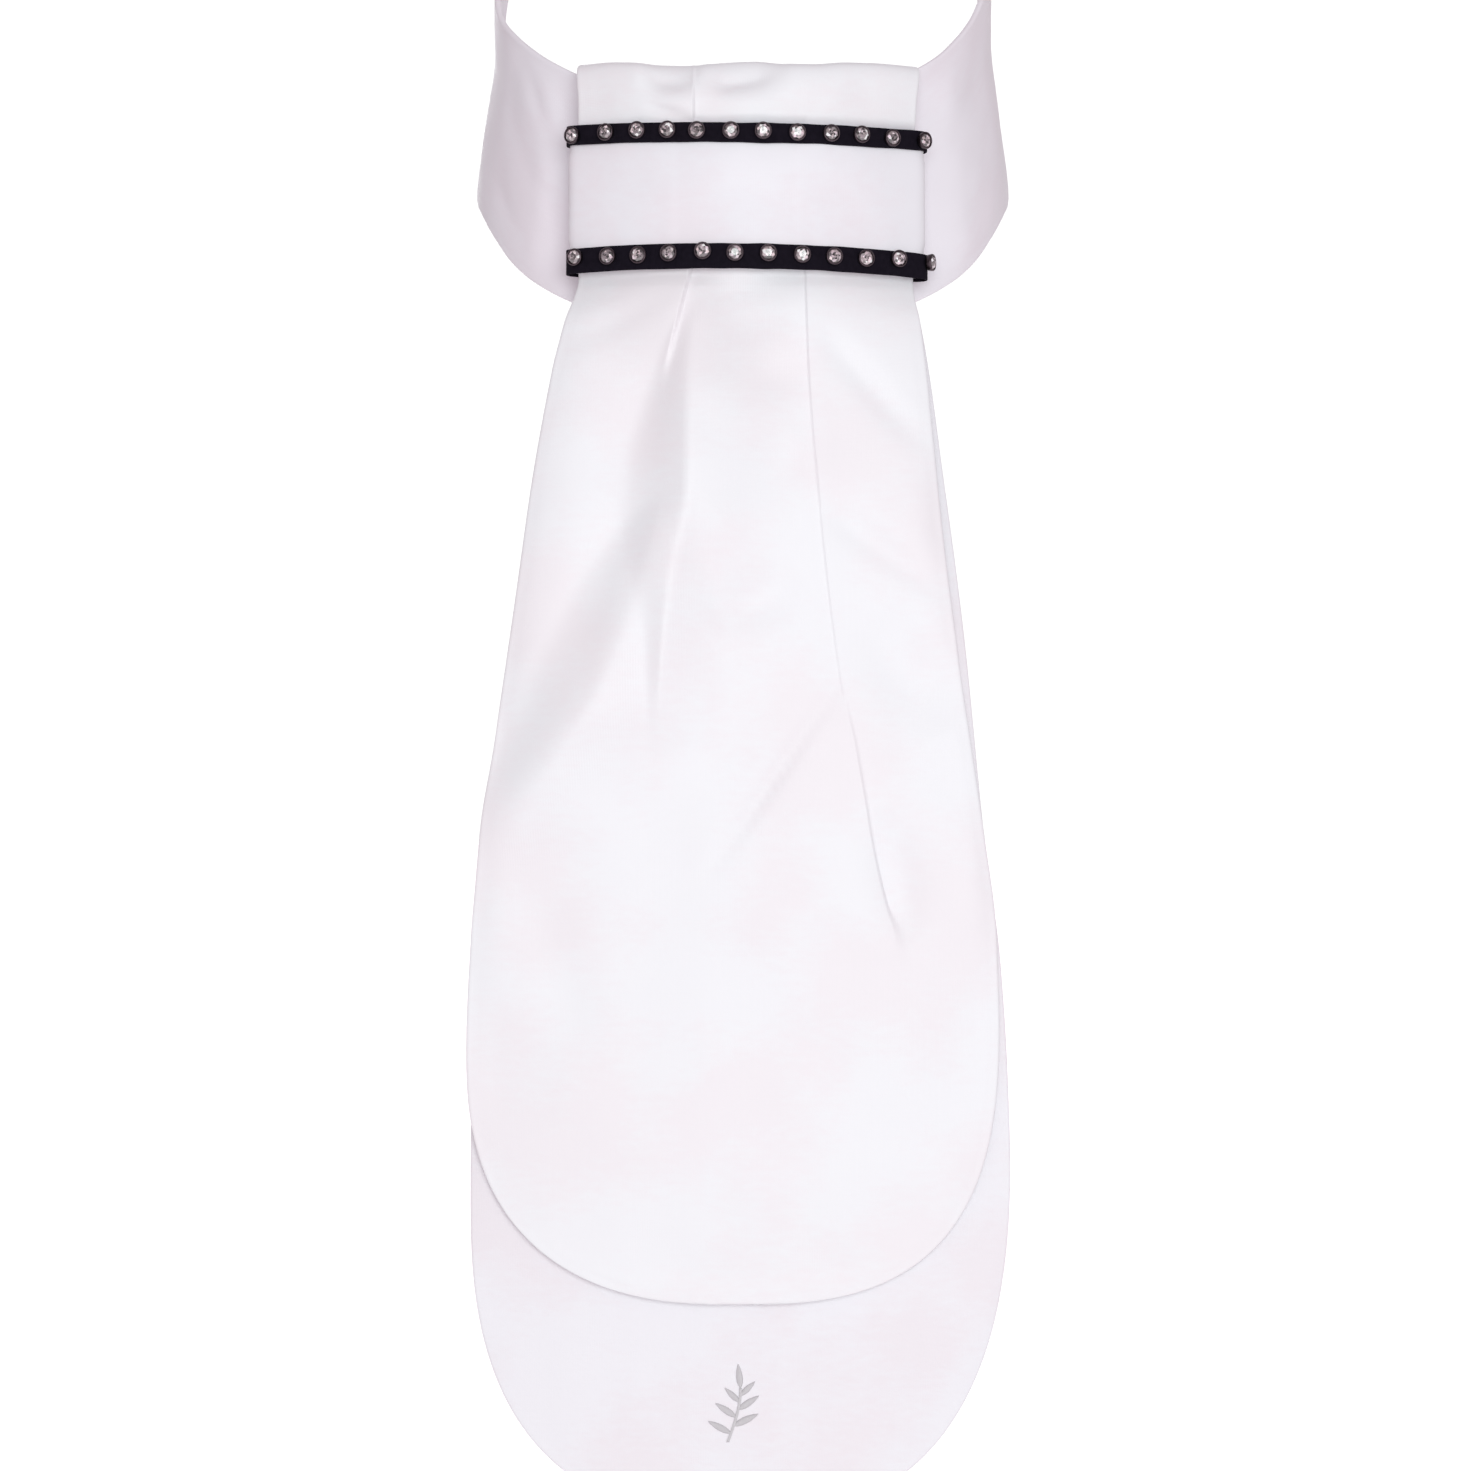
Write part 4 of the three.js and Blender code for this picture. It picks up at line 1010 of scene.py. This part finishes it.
def cut_stone():
    """Points and facets of a round brilliant; its back facets are drawn flat on the table for
    painted reflections
    """
    radius = STONE_RADIUS
    groups = [
        ring(8, radius * TABLE_RADIUS, TABLE_HEIGHT),
        ring(8, radius * STAR_RADIUS, STAR_HEIGHT, 0.5),
        ring(16, radius, GIRDLE_TOP),
        ring(16, radius, GIRDLE_FOOT),
        ring(8, radius * HEART_RADIUS, TABLE_HEIGHT, 0.5),
        ring(8, radius * TABLE_RADIUS * math.cos(math.pi / 8), TABLE_HEIGHT, 0.5),
        np.array([(0, 0, TABLE_HEIGHT), (0, 0, CULET)]),
    ]
    starts = np.cumsum([0] + [len(group) for group in groups]).tolist()
    table_at, star_at, girdle_at, foot_at, heart_at, side_at, centre = starts[:7]
    facets = []
    for i in range(8):
        after = (i + 1) % 8
        facets += [
            (centre, heart_at + i, heart_at + after),
            (heart_at + i, table_at + after, heart_at + after),
            (heart_at + i, side_at + i, table_at + after),
            (heart_at + i, table_at + i, side_at + i),
            (table_at + i, star_at + i, table_at + after),
            (table_at + after, star_at + i, girdle_at + 2 * after, star_at + after),
            (star_at + i, girdle_at + 2 * i, girdle_at + 2 * i + 1),
            (star_at + i, girdle_at + 2 * i + 1, girdle_at + 2 * after),
        ]
    for i in range(16):
        after = (i + 1) % 16
        facets += [
            (girdle_at + i, foot_at + i, foot_at + after, girdle_at + after),
            (foot_at + i, centre + 1, foot_at + after),
        ]
    return np.concatenate(groups), facets


def seat_of(cup_node, stone_node):
    """Foot of a cup and three ways from it, the last one out of the ribbon, in millimetres"""
    corners = []
    for name in (cup_node, stone_node):
        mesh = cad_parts[name].data
        flat = np.empty(len(mesh.vertices) * 3)
        mesh.vertices.foreach_get("co", flat)
        corners.append(np.unique(np.round(flat.reshape(-1, 3) / MM, 3), axis=0))
    cup_middle, stone_middle = (places.mean(0) for places in corners)
    out = (stone_middle - cup_middle) / np.linalg.norm(stone_middle - cup_middle)
    up = np.array([0, 0, 1]) - out * out[2]
    up /= np.linalg.norm(up)
    foot = cup_middle + out * ((corners[0] - cup_middle) @ out).min()
    return foot, np.stack([np.cross(up, out), up, out])


# The cups' grey metal is darkened almost to black: partly its own dark grey, partly painted shade
# on the cups.
colour = (0.06, 0.045, 0.052, 1)
cup_metal, nodes, links, surface = shader("dark cup metal, painted shade", 0.36, Base_Color=colour, Metallic=1)
place = node(nodes, "TexCoord").outputs["Object"]
scuffs = texture(place, "TexNoise", Scale=1500, Detail=3)
bump_from(scuffs.outputs["Fac"], surface, 0.25, 0.00004)
# The crystal's base colour is the painted glint of each facet; only its coat reflects real light.
fixed = {"IOR": 1.56, "Coat_Weight": 1, "Coat_Roughness": 0.02}
crystal, nodes, links, surface = shader("crystal with painted facet glints", 0.08, **fixed)
painted_glints = node(nodes, "Attribute", attribute_name="facet")
links.new(painted_glints.outputs["Color"], surface.inputs["Base Color"])
place = node(nodes, "TexCoord").outputs["Object"]
flaws = texture(place, "TexNoise", Scale=900, Detail=2)
bump_from(flaws.outputs["Fac"], surface, 0.2, 0.00003)
chance = np.random.default_rng(7)
cup_points, cup_faces = spun(CUP_PROFILE, CUP_SIDES)
stone_points, stone_facets = cut_stone()
for row in RIBBONS:
    for number in range(1, STONES_EACH + 1):
        which = f"{row}_{number:02d}"
        foot, ways = seat_of(f"cup_{which}", f"crystal_{which}")
        setting = mesh_piece(f"setting_{which}", foot + cup_points @ ways, cup_faces)
        setting.data.materials.append(cup_metal)
        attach(setting, "root")
        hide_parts(f"cup_{which}")
        turn = chance.uniform(0, math.pi / 4)
        cosine, sine = math.cos(turn), math.sin(turn)
        turned = np.array([(cosine, sine, 0), (-sine, cosine, 0), (0, 0, 1)])
        gem = mesh_piece(f"gem_{which}", foot + stone_points @ turned @ ways, stone_facets)
        gem.data.shade_flat()
        # Painted reflections: a glint tone is drawn for each facet of this stone, brightest on the
        # star and kite facets.
        drawn = chance.choice(PAINTED_GLINT_TONES, (8, 5), p=PAINTED_GLINT_SHARES)
        drawn = drawn * GROUP_GLINT_TONES * chance.uniform(*STONE_GLINT_RANGE)
        tone = np.append(drawn[:, FACET_GROUPS].ravel(), np.full(HIDDEN_FACETS, HIDDEN_GLINT_TONE))
        tint = GLINT_TINT * chance.uniform(*GLINT_TINTS, (len(stone_facets), 3))
        colours = np.clip(tone[:, None] * tint, 0, BRIGHTEST_GLINT)
        colours = np.column_stack([colours, np.ones(len(colours))])
        corners = np.repeat(colours, [len(facet) for facet in stone_facets], axis=0)
        layer = gem.data.attributes.new("facet", "FLOAT_COLOR", "CORNER")
        layer.data.foreach_set("color", corners.astype(np.float32).ravel())
        gem.data.materials.append(crystal)
        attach(gem, "root")
        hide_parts(f"crystal_{which}")


# Sprig
# A small embroidered sprig near the foot of the under tail: a stem and seven leaves worked
# in silver-grey satin stitch over a little padding.
SPRIG_FOOT = (-3.4, -345.0)  # x and z of the foot of its stem
STEM_HEIGHT, STEM_BEND, STEM_HALF = 13.5, 3.2, 0.34
LEAF_LIFT, STITCH_PAD, STITCH_BED = 0.12, 0.34, 0.1
STEM_MESH, LEAF_MESH = (40, 9), (30, 13)  # points along and across
LEAF_ROUND = 0.8
# Leaves, by where on the stem they start, which way they point and how long and wide they are
LEAVES = table(
    "share degrees length width",
    (0.16, 152, 6.6, 1.7),
    (0.3, 26, 7.0, 1.8),
    (0.46, 146, 6.4, 1.7),
    (0.6, 34, 6.4, 1.7),
    (0.74, 136, 5.2, 1.5),
    (0.86, 44, 5.2, 1.5),
    (1, 96, 6.2, 1.7),
)


def stem_at(share):
    x = SPRIG_FOOT[0] + STEM_BEND * np.sin(share * math.pi / 2)
    return x, SPRIG_FOOT[1] + STEM_HEIGHT * share


def stitched(name, along, across, x, z):
    """A low padded patch of satin stitch on the face of the under tail"""
    pad = LEAF_LIFT + STITCH_PAD * np.sqrt(np.clip(1 - across ** 2, 0, 1))
    top = hang_point(x, z, BACK_LEVEL, under_face(x, z) + pad)
    bed = hang_point(x, z, BACK_LEVEL, under_face(x, z) - STITCH_BED)
    return sheet_piece(name, top, bed, along, across)


def under_face(x, z):
    """How far the face of the under tail stands off its middle there"""
    return uneven(x, z, BACK_LUMPS) - BACK_SUNK + CLOTH / 2


fixed = {"Base_Color": (0.6, 0.58, 0.6, 1), "Sheen_Weight": 0.3, "Specular_IOR_Level": 0.6}
thread, nodes, links, surface = shader("silver-grey thread", 0.35, **fixed)
place = cloth_place(nodes)
strands = texture(place, "TexWave", bands_direction="X", Scale=900, Distortion=0.5, Detail=1)
bump_from(strands.outputs["Fac"], surface, 0.7, 0.00008)
across, share = np.meshgrid(np.linspace(-1, 1, STEM_MESH[1]), np.linspace(0, 1, STEM_MESH[0]))
x, z = stem_at(share)
aside = across * STEM_HALF
patches = [stitched("sprig_stem", share * STEM_HEIGHT, aside, x + aside, z)]
for number, (starts, degrees, length, width) in enumerate(zip(*LEAVES.values())):
    across, share = np.linspace(-1, 1, LEAF_MESH[1]), np.linspace(0.02, 0.98, LEAF_MESH[0])
    across, share = np.meshgrid(across, share)
    foot_x, foot_z = stem_at(starts)
    way = math.radians(degrees)
    half = width / 2 * np.sin(math.pi * share ** LEAF_ROUND) ** LEAF_ROUND
    reach, aside = share * length, across * half
    x = foot_x + reach * math.cos(way) - aside * math.sin(way)
    z = foot_z + reach * math.sin(way) + aside * math.cos(way)
    patches.append(stitched(f"sprig_leaf_{number}", reach + 0.5 * aside, across, x, z))
for patch in patches:
    patch.data.materials.append(thread)
    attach(patch, "root")


# Ground
# A plain pale floor, well below the cravat.
FLOOR_HALF, FLOOR_Z = 30, -1.0  # metres
floor_mesh = bpy.data.meshes.new("floor")
signs = [(-1, -1), (1, -1), (1, 1), (-1, 1)]
corners = [(a * FLOOR_HALF, b * FLOOR_HALF, FLOOR_Z) for a, b in signs]
floor_mesh.from_pydata(corners, [], [(0, 1, 2, 3)])
floor = bpy.data.objects.new("floor", floor_mesh)
bpy.context.scene.collection.objects.link(floor)
colours = {"Base_Color": (0.8, 0.8, 0.8, 1), "Emission_Color": (1, 0.94, 0.97, 1)}
pale, nodes, links, surface = shader("pale floor", 0.9, **colours, Emission_Strength=1.0)
floor_mesh.materials.append(pale)
floor.visible_diffuse = False


# Light
# A large soft light in front, a little to the right, a weaker one behind, and a soft even
# light all round.
world = bpy.data.worlds.new("studio")
world.use_nodes = True
bpy.context.scene.world = world
nodes, links = world.node_tree.nodes, world.node_tree.links
around_light = nodes["Background"]
around_light.inputs["Color"].default_value = (1, 0.9, 0.95, 1)
around_light.inputs["Strength"].default_value = 0.5
seen = node(nodes, "Background", Color=(1, 1, 1, 1), Strength=1.1)
path = node(nodes, "LightPath")
mix = node(nodes, "MixShader")
links.new(path.outputs["Is Camera Ray"], mix.inputs["Fac"])
links.new(around_light.outputs["Background"], mix.inputs[1])
links.new(seen.outputs["Background"], mix.inputs[2])
links.new(mix.outputs["Shader"], nodes["World Output"].inputs["Surface"])
LIGHTS = [  # name, place, size, power
    ("key", (0.24, -2.1, 0.0), 1.2, 24.0),
    ("back", (-0.4, 2.2, 0.3), 1.2, 14),
]
AIM = Vector((0, -0.06, -0.15))
for name, place, size, power in LIGHTS:
    data = bpy.data.lights.new(name, "AREA")
    data.shape = "DISK"
    data.size = size
    data.energy = power
    data.color = (0.93, 1, 0.985)
    lamp = bpy.data.objects.new(name, data)
    lamp.location = place
    lamp.rotation_euler = (AIM - Vector(place)).to_track_quat("-Z", "Y").to_euler()
    bpy.context.scene.collection.objects.link(lamp)
bpy.context.scene.view_settings.view_transform = "Standard"
